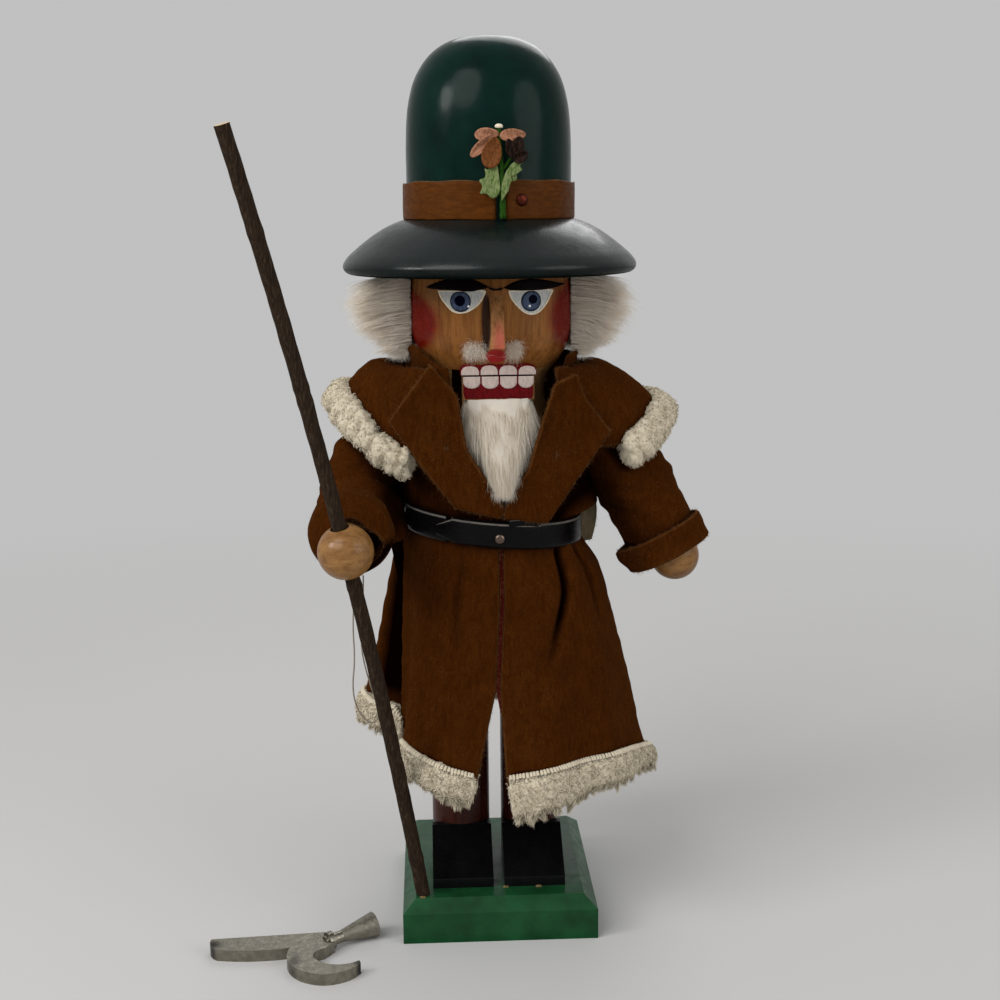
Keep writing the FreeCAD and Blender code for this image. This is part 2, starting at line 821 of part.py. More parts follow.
def make_capes():
    sides = {
        "left": [
            (-47.0, 50.0, -40.0, 3.0),
            (-35.0, 57.2, -37.0, 3.5),
            (-24.0, 68.6, -35.0, 6.0),
            (-12.0, 76.0, -27.0, 6.0),
            (0.0, 81.0, -19.5, 6.0),
            (22.0, 78.0, -19.5, 6.0),
            (45.0, 67.0, -24.0, 5.0),
            (90.0 - cape_back_gap_deg, 57.0, -29.0, 4.0),
        ],
        "right": [
            (228.0, 49.5, -41.0, 3.0),
            (222.0, 53.5, -38.0, 3.5),
            (210.0, 59.0, -33.0, 5.0),
            (196.0, 66.5, -20.0, 6.0),
            (180.0, 71.5, -11.5, 6.0),
            (160.0, 70.0, -13.0, 6.0),
            (135.0, 63.0, -21.0, 5.0),
            (90.0 + cape_back_gap_deg, 57.0, -29.0, 4.0),
        ],
    }
    for side, edges in sides.items():
        rows = [(degrees, radius, cape_neck_z + drop, lift) for degrees, radius, drop, lift in edges]
        sections = [cape_section(*row) for row in rows]
        pieces[side + "_cape"] = Part.makeLoft(sections, True, True)
        stations = [trim_section(*row[:3]) for row in rows[1:]]
        trim = Part.makeLoft(stations, True, True)
        pieces[side + "_cape_trim"] = trim.cut(pieces[side + "_lapel"])


def cuff_ring(wrist, fore, length, turned_back, sleeve_radius):
    """The turned-back end of a sleeve: a felt ring round it."""
    start = wrist - fore * (length - turned_back)
    end = start + fore * length
    bore = sleeve_radius + 2 * cloth_gap
    return rod(start, end, bore + cuff_thickness).cut(rod(start, end, bore))


def make_sleeves():
    top_z = shoulder_z - 1.0
    start_x = coat_radius + cloth_gap
    wrist = right_sleeve_wrist
    stations = [
        (Vector(-start_x, 0, top_z), -ACROSS, shoulder_opening_radius),
        (right_sleeve_turn, Vector(-0.72, -0.1, -0.7), right_sleeve_radius + 0.6),
        (right_sleeve_elbow, Vector(-0.22, -0.76, -0.6), right_sleeve_radius + 1.4),
        (wrist - FORWARD * 20, FORWARD, right_sleeve_radius),
        (wrist, FORWARD, right_sleeve_radius - 0.4),
    ]
    pieces["right_sleeve"] = tube_loft(stations, felt)
    pieces["right_cuff"] = cuff_ring(wrist, FORWARD, right_cuff_length, right_cuff_turned_back,
                                     right_sleeve_radius)

    fore = Vector(0.46, -0.12, -0.88)
    fore.normalize()
    wrist = left_sleeve_wrist
    stations = [
        (Vector(start_x, 0, top_z), ACROSS, shoulder_opening_radius),
        (left_sleeve_turn, Vector(0.66, 0, -0.75), left_sleeve_radius - 0.8),
        (left_sleeve_elbow, Vector(0.55, -0.05, -0.83), left_sleeve_radius),
        (wrist, fore, left_sleeve_radius - 0.6),
    ]
    pieces["left_sleeve"] = tube_loft(stations, felt)
    pieces["left_cuff"] = cuff_ring(wrist, fore, left_cuff_length, left_cuff_turned_back,
                                    left_sleeve_radius)


def split_half_gap(z):
    """Half the width of the front split: closed down to its end, then open."""
    if z >= split_end_z:
        return split_gap / 2
    return split_gap / 2 + (split_end_z - z) / (split_end_z - hem_z) * split_hem_half_width


# Hem of the skirt seen from above: every second point is the middle of a fold.
hem_outline = [
    (7.0, -61.5), (24.0, -60.5), (41.0, -47.0),
    (60.0, -39.0), (73.4, -14.0),
    (82.0, 6.0), (72.0, 27.0),
    (60.0, 46.0), (36.0, 50.0),
    (14.0, 61.0), (-10.0, 55.0),
    (-34.0, 60.0), (-52.0, 47.0),
    (-74.0, 33.0), (-62.0, 4.0),
    (-52.0, -4.0), (-42.0, -14.0),
    (-46.0, -30.0), (-41.0, -44.0),
    (-27.0, -58.0), (-7.0, -61.5),
]


def skirt_points(z, outward):
    """The skirt's outline at a height, moved outward by a distance."""
    count = len(hem_outline) - 1
    share = max(0.0, (skirt_flare_z - z) / (skirt_flare_z - hem_z))
    points = []
    for i, (hem_x, hem_y) in enumerate(hem_outline):
        degrees = -90 + 360 * i / count
        waist = around(coat_radius, degrees, z)
        points.append(Vector(
            waist.x + (hem_x - waist.x) * share,
            waist.y + (hem_y - waist.y) * share,
            z,
        ))
    half = split_half_gap(z)
    points[0].x = half
    points[-1].x = -half
    moved = []
    for i, point in enumerate(points):
        before = points[max(i - 1, 0)]
        after = points[min(i + 1, count)]
        along = after - before
        normal = Vector(along.y, -along.x, 0)
        normal.normalize()
        if i in (0, count):
            normal = FORWARD
        moved.append(point + normal * outward)
    return moved


def skirt_wire(z, outward, inward, first, last):
    """A closed section of the cloth between two folds."""
    outer = skirt_points(z, outward)
    inner = skirt_points(z, -inward)
    edges = []
    for i in range(first, last, 2):
        edges.append(arc(outer[i], outer[i + 1], outer[i + 2]))
    edges.append(line(outer[last], inner[last]))
    for i in range(last, first, -2):
        edges.append(arc(inner[i], inner[i - 1], inner[i - 2]))
    edges.append(line(inner[first], outer[first]))
    return Part.Wire(edges)


def hem_cutter(z):
    """Everything below the hem, which is a little lower on the figure's left."""
    slab = box_between(Vector(-200, -200, z - 200), Vector(200, 200, z))
    slab.rotate(Vector(0, 0, z), Vector(0, 1, 0), hem_tilt_deg)
    return slab


def make_skirt():
    last = len(hem_outline) - 1
    heights = [coat_waist_z, skirt_flare_z, 160.0, split_end_z, hem_z - 16]
    sections = [skirt_wire(z, 0, felt, 0, last) for z in heights]
    skirt = Part.makeLoft(sections, True, True)
    pieces["coat_skirt"] = skirt.cut(hem_cutter(hem_z))
    spans = {"hem_trim_left": (0, 4), "hem_trim_back": (4, 14), "hem_trim_right": (16, 20)}
    proud = (trim_thickness - felt) / 2
    for name, (first, end) in spans.items():
        rows = [hem_z + 14, hem_z - trim_height - 16]
        wires = [skirt_wire(z, proud, felt + proud, first, end) for z in rows]
        band = Part.makeLoft(wires, True, True)
        band = band.cut(hem_cutter(hem_z - trim_height))
        pieces[name] = band.common(hem_cutter(hem_z))


def make_belt():
    inner = coat_radius + cloth_gap + belt_slack
    outer = inner + belt_thickness
    low = belt_centre_z - belt_width / 2
    ring = turned([(inner, low), (outer, low), (outer, low + belt_width), (inner, low + belt_width)])
    ring.rotate(Vector(0, 0, belt_centre_z), Vector(0, 1, 0), belt_tilt_deg)
    pieces["belt"] = ring
    seat = Vector(belt_rivet_x, -outer, belt_centre_z - 1.5)
    rivet = rod(seat - FORWARD * 0.5, seat + FORWARD * rivet_height, rivet_radius)
    pieces["belt_rivet"] = rivet.cut(ring)


# Hook head

def make_hook_head():
    def flat(x, y):
        return Vector(x, y, 0)

    edges = [
        line(flat(-86.0, -50.5), flat(-140.0, -54.4)),
        arc(flat(-140.0, -54.4), flat(-139.8, -60.0), flat(-136.0, -65.0)),
        arc(flat(-136.0, -65.0), flat(-122.0, -66.8), flat(-101.5, -65.3)),
        arc(flat(-101.5, -65.3), flat(-98.5, -83.0), flat(-84.0, -91.6)),
        arc(flat(-84.0, -91.6), flat(-75.0, -89.6), flat(-67.0, -81.4)),
        line(flat(-67.0, -81.4), flat(-67.8, -79.4)),
        arc(flat(-67.8, -79.4), flat(-79.5, -82.6), flat(-87.6, -77.8)),
        arc(flat(-87.6, -77.8), flat(-89.6, -71.5), flat(-85.0, -67.0)),
        line(flat(-85.0, -67.0), flat(-80.5, -60.5)),
        line(flat(-80.5, -60.5), flat(-86.0, -50.5)),
    ]
    plate = face_of(edges).extrude(UP * hook_plate)
    neck = Vector(-83.5, -57.0, 4.4)
    mouth = Vector(-62.0, -44.6, hook_socket_mouth_radius)
    axis = mouth - neck
    axis.normalize()
    shank = rod(neck - axis * 2, neck + axis * 8, hook_socket_neck_radius)
    bead = rod(neck - axis * 0.5, neck + axis * 2.2, hook_bead_radius)
    cone = Part.makeCone(hook_socket_neck_radius, hook_socket_mouth_radius,
                         (mouth - neck).Length - 7, neck + axis * 7, axis)
    bore = rod(mouth - axis * hook_socket_depth, mouth + axis, staff_radius + hook_socket_gap)
    floor = box_between(Vector(-300, -300, 0), Vector(300, 300, 50))
    head = plate.fuse(shank).fuse(bead).fuse(cone).common(floor).cut(bore)
    pieces["hook_head"] = head.removeSplitter()


# Thread

thread_route = [
    (-66.0, -56.0, 184.2), (-66.6, -55.6, 176.0), (-67.6, -55.0, 160.0), (-67.0, -54.6, 145.0),
    (-68.8, -54.2, 130.0), (-66.6, -54.0, 119.5), (-61.0, -54.0, 112.6), (-56.4, -54.2, 115.0),
    (-57.6, -54.4, 124.0), (-61.6, -54.8, 137.0), (-64.2, -55.2, 151.0), (-63.0, -55.8, 168.0),
    (-62.2, -56.0, 177.0), (-62.0, -56.2, 185.4),
]


def make_thread():
    """A thin cord of straight runs joined by tangent arcs."""
    points = [Vector(*p) for p in thread_route]
    edges = []
    radii = []
    here = points[0]
    for before, corner, after in zip(points, points[1:], points[2:]):
        run_in = corner - before
        run_out = after - corner
        half_turn = run_in.getAngle(run_out) / 2
        reach = 0.45 * min(run_in.Length, run_out.Length)
        radius = reach / math.tan(half_turn)
        radii.append(round(radius, 2))
        run_in.normalize()
        run_out.normalize()
        start = corner - run_in * reach
        end = corner + run_out * reach
        inward = run_out - run_in
        inward.normalize()
        centre = corner + inward * (radius / math.cos(half_turn))
        middle = centre - inward * radius
        edges.append(line(here, start))
        edges.append(arc(start, middle, end))
        here = end
    edges.append(line(here, points[-1]))
    path = Part.Wire(edges)
    section = round_section(points[0], points[1] - points[0], thread_diameter / 2)
    tube = path.makePipeShell([section], True, True)
    expected = math.pi * (thread_diameter / 2) ** 2 * path.Length
    print("thread length", round(path.Length, 1), "radii", radii,
          "volume against section times length", round(tube.Volume / expected, 3))
    pieces["thread"] = tube


def build():
    make_base()
    make_leg("right", -1)
    make_leg("left", 1)
    make_leg_dowels()
    make_body()
    make_head()
    make_nose()
    make_moustache()
    make_hair()
    make_lever()
    make_beard()
    make_hat()
    make_hat_band()
    make_sprig()
    make_arms_and_staff()
    make_bodice()
    make_lapels()
    make_collar()
    make_capes()
    make_sleeves()
    make_skirt()
    make_belt()
    make_hook_head()
    make_thread()


def report(name, shape):
    box = shape.BoundBox
    print(f"{name}: {len(shape.Solids)} solid, {shape.Volume:.0f} mm3, valid {shape.isValid()}, "
          f"x {box.XMin:.1f} {box.XMax:.1f}, y {box.YMin:.1f} {box.YMax:.1f}, "
          f"z {box.ZMin:.1f} {box.ZMax:.1f}")


def export():
    os.makedirs("parts", exist_ok=True)
    for name, shape in pieces.items():
        shape.exportStep("parts/" + name + ".step")
        report(name, shape)


build()
export()
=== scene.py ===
"""Looks of a wooden nutcracker figure in a felt coat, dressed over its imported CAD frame."""

import logging
import math
from dataclasses import dataclass
from enum import Enum
from typing import Callable, Sequence

import bpy
import numpy as np
from mathutils import Matrix, Vector


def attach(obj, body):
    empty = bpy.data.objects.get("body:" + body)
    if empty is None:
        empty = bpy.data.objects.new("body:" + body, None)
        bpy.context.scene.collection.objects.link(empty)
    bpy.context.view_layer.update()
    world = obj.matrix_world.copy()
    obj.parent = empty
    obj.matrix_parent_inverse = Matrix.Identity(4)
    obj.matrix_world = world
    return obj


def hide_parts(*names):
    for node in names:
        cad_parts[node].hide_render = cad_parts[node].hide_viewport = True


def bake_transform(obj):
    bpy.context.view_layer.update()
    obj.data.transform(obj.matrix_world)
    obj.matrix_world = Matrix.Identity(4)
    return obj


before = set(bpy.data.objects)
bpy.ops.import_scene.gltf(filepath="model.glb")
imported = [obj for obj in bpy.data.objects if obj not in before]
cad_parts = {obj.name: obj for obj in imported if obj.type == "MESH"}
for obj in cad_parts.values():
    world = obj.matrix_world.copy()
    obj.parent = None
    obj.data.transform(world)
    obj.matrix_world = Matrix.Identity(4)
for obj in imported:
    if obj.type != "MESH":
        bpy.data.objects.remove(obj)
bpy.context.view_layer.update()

MM = 0.001
UP = np.array([0.0, 0.0, 1.0])
Colour = tuple[float, float, float]
Array = np.ndarray

log = logging.getLogger("figure")


class Body(Enum):
    """The rigid bodies that pieces ride on."""

    FIGURE = "figure"
    JAW = "jaw"
    STAFF = "staff"


# Curves and grids of points, in millimetres


def spline_through(points: Sequence, count: int) -> Array:
    """Runs a smooth curve through points or through whole rows of points.

    Args:
        points: Control points, or rows of them, along the first axis.
        count: How many samples to return.

    Returns:
        The samples along the first axis.
    """
    p = np.asarray(points, float)
    padded = np.concatenate([[2 * p[0] - p[1]], p, [2 * p[-1] - p[-2]]])
    s = np.linspace(0, len(p) - 1, count)
    i = np.minimum(s.astype(int), len(p) - 2)
    t = (s - i).reshape((-1,) + (1,) * (p.ndim - 1))
    a, b, c, d = padded[i], padded[i + 1], padded[i + 2], padded[i + 3]
    return 0.5 * (2 * b + (c - a) * t + (2 * a - 5 * b + 4 * c - d) * t**2 + (3 * b - a - 3 * c + d) * t**3)


def straight_through(points: Sequence, count: int) -> Array:
    """Runs straight lines through points, evenly by length, and keeps each corner.

    Args:
        points: Corner points.
        count: How many samples to return.

    Returns:
        The samples, with the sample nearest each corner moved onto it.
    """
    p = np.asarray(points, float)
    lengths = np.linalg.norm(np.diff(p, axis=0), axis=1)
    reach = np.concatenate([[0.0], np.cumsum(lengths)])
    wanted = np.linspace(0, reach[-1], count)
    for corner in reach:
        wanted[np.argmin(np.abs(wanted - corner))] = corner
    return np.stack([np.interp(wanted, reach, p[:, k]) for k in range(p.shape[1])], axis=1)


def smooth_grid(control: Sequence, rows: int, columns: int) -> Array:
    """Refines rows of control points into a dense smooth grid."""
    dense = spline_through(control, rows)
    return np.swapaxes(spline_through(np.swapaxes(dense, 0, 1), columns), 0, 1)


def unit(v: Array) -> Array:
    """Scales vectors to length one."""
    return v / np.maximum(np.linalg.norm(v, axis=-1, keepdims=True), 1e-9)


def xyz(x: Array, y: Array | float, z: Array | float) -> Array:
    """Points from their coordinates, any of which may be one number."""
    return np.stack(np.broadcast_arrays(x, y, z), axis=-1)


def full_turn(count: int) -> Array:
    """Angles in radians, evenly round a circle."""
    return np.linspace(0, 2 * math.pi, count, endpoint=False)


def squared(wave: Array, power: float) -> Array:
    """A sine or cosine with fuller corners, the more so the lower the power."""
    return np.sign(wave) * np.abs(wave) ** power


def grid_normals(grid: Array, wrap: bool = False) -> Array:
    """Surface directions at each point of a grid.

    Args:
        grid: (rows, columns, 3) points.
        wrap: Whether the last column meets the first.

    Returns:
        Unit vectors, across the columns crossed with down the rows.
    """
    down = np.gradient(grid, axis=0)
    if wrap:
        across = np.roll(grid, -1, axis=1) - np.roll(grid, 1, axis=1)
    else:
        across = np.gradient(grid, axis=1)
    return unit(np.cross(across, down))


def ripple(points: Array, size: float, seed: int) -> Array:
    """Smooth uneven values from about -1 to 1.

    Args:
        points: Points in millimetres, last axis x, y, z.
        size: Rough distance between bumps in millimetres.
        seed: Picks the pattern.

    Returns:
        One value per point.
    """
    rng = np.random.default_rng(seed)
    total = np.zeros(points.shape[:-1])
    for _ in range(7):
        direction = unit(rng.normal(size=3)) * 2 * math.pi / (size * rng.uniform(0.7, 2.2))
        total += np.sin(points @ direction + rng.uniform(0, 2 * math.pi)) * rng.uniform(0.5, 1.0)
    return total / 3.2


def around(radius: float, degrees: float, z: float) -> Array:
    """A point at a radius and angle from the Z axis."""
    angle = math.radians(degrees)
    return np.array([radius * math.cos(angle), radius * math.sin(angle), z])


# Meshes


class Surface:
    """Collects patches of quads and makes one mesh object of them."""

    def __init__(self) -> None:
        """Starts with no patches."""
        self.points: list[Array] = []
        self.quads: list[Array] = []
        self.slots: list[Array] = []
        self.shade_values: list[Array] = []
        self.count = 0

    def add(self, points: Array, quads: Array, slot: int = 0, fold: Array | None = None) -> None:
        """Adds points in millimetres and the quads on them.

        Args:
            points: Any shape ending in 3.
            quads: (n, 4) indices into the points.
            slot: Which finish the quads take.
            fold: How much painted shade each point takes, from 0 to 1, deepest in folds.
        """
        flat = points.reshape(-1, 3)
        self.points.append(flat)
        self.shade_values.append(np.zeros(len(flat)) if fold is None else fold)
        self.quads.append(quads + self.count)
        self.slots.append(np.full(len(quads), slot))
        self.count += len(flat)

    def skin(self, grid: Array, slot: int = 0, wrap: bool = False, flip: bool = False) -> None:
        """Adds a grid of points as one skin, its faces turned over if asked."""
        quads = grid_quads(grid.shape[0], grid.shape[1], wrap)
        self.add(grid, quads[:, ::-1] if flip else quads, slot)

    def cloth(self, grid: Array, thickness: float, wrap: bool = False,
              keep: Array | None = None, fuzz: "Surface | None" = None, fold: Array | None = None) -> None:
        """Adds a sheet with a thickness and a rounded rim, its outer face on the grid.

        Args:
            grid: (rows, columns, 3) points of the outer face.
            thickness: Thickness in millimetres.
            wrap: Whether the last column meets the first.
            keep: One flag per quad; the others are left open.
            fuzz: Where the loose fibres of felt go; its rim then takes the next finish.
            fold: How much painted shade each point takes, if any does.
        """
        rows, columns = grid.shape[:2]
        inner = grid - grid_normals(grid, wrap) * thickness
        quads = grid_quads(rows, columns, wrap)
        if keep is not None:
            quads = quads[keep.reshape(-1)]
        total = rows * columns
        outer_edges, across = open_edges(quads, grid.reshape(-1, 3))
        flat_outer, flat_inner = grid.reshape(-1, 3), inner.reshape(-1, 3)
        ring = np.unique(outer_edges)
        place = {int(v): n for n, v in enumerate(ring)}
        away = np.zeros((len(ring), 3))
        for (a, b), direction in zip(outer_edges, across):
            away[place[int(a)]] += direction
            away[place[int(b)]] += direction
        middle = (flat_outer[ring] + flat_inner[ring]) / 2 + unit(away) * thickness * 0.42
        points = np.concatenate([flat_outer, flat_inner, middle])
        rim = []
        for a, b in outer_edges:
            ma, mb = 2 * total + place[int(a)], 2 * total + place[int(b)]
            rim.append((b, a, ma, mb))
            rim.append((mb, ma, total + a, total + b))
        deep = None if fold is None else np.concatenate([fold.ravel(), fold.ravel(), fold.ravel()[ring]])
        self.add(points, np.concatenate([quads, quads[:, ::-1] + total, np.array(rim)]), fold=deep)
        self.slots[-1][-len(rim):] += fuzz is not None
        if fuzz is not None:
            ends = np.array([[place[int(v)] for v in edge] for edge in outer_edges])
            fuzz.fray(middle[ends], across)
            shown = np.unique(quads)
            # No nap fibres stand where the painted shade is deep.
            shown = shown if fold is None else shown[fold.ravel()[shown] < 0.3]
            fuzz.nap(flat_outer[shown], grid_normals(grid, wrap).reshape(-1, 3)[shown])

    def fray(self, edges: Array, across: Array) -> None:
        """Adds short loose fibres along cut edges.

        Args:
            edges: (n, 2, 3) both ends of each stretch of edge.
            across: (n, 3) the way out over each.
        """
        rng = np.random.default_rng(len(edges))
        lengths = np.linalg.norm(edges[:, 1] - edges[:, 0], axis=1)
        pick = rng.choice(len(edges), size=int(lengths.sum() * 6.0) + 1, p=lengths / lengths.sum())
        share = rng.random((len(pick), 1))
        roots = edges[pick, 0] * (1 - share) + edges[pick, 1] * share
        paths = hair_paths(roots - across[pick] * 0.3, across[pick], rng.uniform(0.6, 1.5, len(pick)), rng, 0.1, 0.6, 4)
        self.ribbons(paths, rng.uniform(0.07, 0.13, len(pick)), rng)

    def nap(self, points: Array, normals: Array) -> None:
        """Adds sparse fibres that stand up from the face of the felt.

        Args:
            points: (n, 3) places on the face.
            normals: The way out of each.
        """
        rng = np.random.default_rng(len(points))
        pick = rng.integers(0, len(points), size=min(6500, len(points) // 3))
        aim = unit(normals[pick] * 0.45 + rng.normal(size=(len(pick), 3)) * 0.6)
        roots = points[pick] + rng.normal(size=(len(pick), 3)) * 0.25 - normals[pick] * 0.1
        paths = hair_paths(roots, aim, rng.uniform(0.5, 1.1, len(pick)), rng, 0.2, 0.4, 3)
        self.ribbons(paths, rng.uniform(0.05, 0.09, len(pick)), rng)

    def tube(self, path: Array, radii: Array | float, sides: int = 8) -> None:
        """Adds a round tube along a path, closed at both ends.

        Args:
            path: (n, 3) points.
            radii: One radius, or one per point.
            sides: Sides of the tube.
        """
        radius = np.broadcast_to(np.asarray(radii, float), (len(path),))
        tangent = unit(np.gradient(path, axis=0))
        guide = np.array([0.0, 0.0, 1.0]) if abs(tangent[0][2]) < 0.9 else np.array([1.0, 0.0, 0.0])
        side = unit(np.cross(tangent, guide))
        up = np.cross(side, tangent)
        angle = full_turn(sides)
        ring = side[:, None] * np.cos(angle)[None, :, None] + up[:, None] * np.sin(angle)[None, :, None]
        grid = path[:, None] + ring * radius[:, None, None]
        tips = [np.repeat(path[None, :1], sides, axis=1), np.repeat(path[None, -1:], sides, axis=1)]
        self.skin(np.concatenate([tips[0], grid, tips[1]]), wrap=True, flip=True)

    def ribbons(self, paths: Array, widths: Array, rng: np.random.Generator) -> None:
        """Adds fine tapering hairs, each a narrow ribbon along its own path.

        Args:
            paths: (hairs, steps, 3) points.
            widths: Width of each hair at its root.
            rng: Source of the ribbons' turns.
        """
        hairs, steps = paths.shape[:2]
        tangent = unit(np.gradient(paths, axis=1))
        side = unit(np.cross(tangent, unit(rng.normal(size=(hairs, 1, 3)))))
        taper = (1 - np.linspace(0, 1, steps) ** 1.6 * 0.85)[None, :, None]
        half = side * taper * widths[:, None, None] / 2
        points = np.stack([paths - half, paths + half], axis=2)
        first = (np.arange(hairs)[:, None] * steps + np.arange(steps - 1)) * 2
        quads = np.stack([first, first + 1, first + 3, first + 2], axis=-1).reshape(-1, 4)
        self.add(points, quads)

    def build(self, name: str, finishes: Sequence[bpy.types.Material], body: Body | None = Body.FIGURE,
              replaces: Sequence[str] = (), slot: str | None = None) -> bpy.types.Object:
        """Makes the object and hands it to the frame.

        Args:
            name: Name of the piece.
            finishes: Materials in slot order.
            body: The body it rides on, or None.
            replaces: CAD nodes that it stands for.
            slot: Not used.

        Returns:
            The new object.
        """
        points = np.concatenate(self.points) * MM
        quads = np.concatenate(self.quads)
        mesh = bpy.data.meshes.new(name)
        mesh.vertices.add(len(points))
        mesh.vertices.foreach_set("co", points.ravel())
        mesh.loops.add(quads.size)
        mesh.loops.foreach_set("vertex_index", quads.ravel().astype(np.int32))
        mesh.polygons.add(len(quads))
        mesh.polygons.foreach_set("loop_start", np.arange(0, quads.size, 4, dtype=np.int32))
        for finish in finishes:
            mesh.materials.append(finish)
        mesh.polygons.foreach_set("material_index", np.concatenate(self.slots).astype(np.int32))
        mesh.update(calc_edges=True)
        # The painted shade per point goes into the mesh as its fold attribute.
        shade_values = np.concatenate(self.shade_values)
        if shade_values.any():
            mesh.attributes.new("fold", "FLOAT", "POINT").data.foreach_set("value", shade_values.astype(np.float32))
        mesh.validate()
        mesh.shade_smooth()
        piece = bpy.data.objects.new(name, mesh)
        bpy.context.scene.collection.objects.link(piece)
        hand_over(piece, body, replaces)
        return piece


def hand_over(piece: bpy.types.Object, body: Body | None, replaces: Sequence[str] = ()) -> None:
    """Hangs a piece on the body it rides on and hides the CAD nodes that it stands for.

    Args:
        piece: The finished piece.
        body: The body it rides on, or None.
        replaces: CAD nodes that it stands for.
    """
    if body is not None:
        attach(piece, body.value)
    if replaces:
        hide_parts(*replaces)
    log.info("%s: %d faces", piece.name, len(piece.data.polygons) if piece.type == "MESH" else 0)


def grid_quads(rows: int, columns: int, wrap: bool = False) -> Array:
    """Indices of the quads of a grid.

    Args:
        rows: Rows of points.
        columns: Columns of points.
        wrap: Whether the last column meets the first.

    Returns:
        (n, 4) indices.
    """
    i, j = np.meshgrid(np.arange(rows - 1), np.arange(columns if wrap else columns - 1), indexing="ij")
    k = (j + 1) % columns
    quads = np.stack([i * columns + j, i * columns + k, (i + 1) * columns + k, (i + 1) * columns + j], axis=-1)
    return quads.reshape(-1, 4)


def open_edges(quads: Array, points: Array) -> tuple[Array, Array]:
    """Finds the free edges of a patch and the way out across each.

    Args:
        quads: (n, 4) indices.
        points: The patch's points.

    Returns:
        The edges as index pairs, and a unit vector for each.
    """
    edges = np.concatenate([quads[:, [k, (k + 1) % 4]] for k in range(4)])
    far = np.concatenate([quads[:, [(k + 3) % 4, (k + 2) % 4]] for k in range(4)])
    key = np.sort(edges, axis=1)
    _, first, counts = np.unique(key, axis=0, return_index=True, return_counts=True)
    free = first[counts == 1]
    edges, far = edges[free], far[free]
    across = points[edges].mean(axis=1) - points[far].mean(axis=1)
    return edges, unit(across)


def hair_paths(roots: Array, directions: Array, lengths: Array, rng: np.random.Generator,
               droop: float, stray: float, steps: int = 5) -> Array:
    """Bending paths of loose hairs.

    Args:
        roots: (n, 3) where they start.
        directions: (n, 3) unit vectors.
        lengths: Length of each.
        rng: Source of the unevenness.
        droop: How far a tip sinks, as a share of its length.
        stray: How far hairs leave their direction.
        steps: Points on each path.

    Returns:
        (n, steps, 3) points.
    """
    t = np.linspace(0, 1, steps)[None, :, None]
    size = lengths[:, None, None]
    aim = unit(directions + rng.normal(size=directions.shape) * stray)[:, None]
    bend = rng.normal(size=(len(roots), 1, 3)) * stray * 0.7
    sink = np.array([0.0, 0.0, -droop])
    return roots[:, None] + size * (aim * t + (bend + sink) * t**2)


def scatter(grid: Array, count: int, rng: np.random.Generator, wrap: bool = False) -> tuple[Array, Array]:
    """Random places on a grid, evenly by area.

    Args:
        grid: (rows, columns, 3) points.
        count: How many places.
        rng: Source of the places.
        wrap: Whether the last column meets the first.

    Returns:
        The places and the surface directions there.
    """
    quads = grid_quads(grid.shape[0], grid.shape[1], wrap)
    flat = grid.reshape(-1, 3)
    normals = grid_normals(grid, wrap).reshape(-1, 3)
    corner = flat[quads]
    area = np.linalg.norm(np.cross(corner[:, 2] - corner[:, 0], corner[:, 3] - corner[:, 1]), axis=1)
    pick = rng.choice(len(quads), size=count, p=area / area.sum())
    u, v = rng.random((2, count, 1))
    weights = [(1 - u) * (1 - v), u * (1 - v), u * v, (1 - u) * v]
    place = sum(w * flat[quads[pick, k]] for k, w in enumerate(weights))
    return place, normals[quads[pick, 0]]


# Finishes


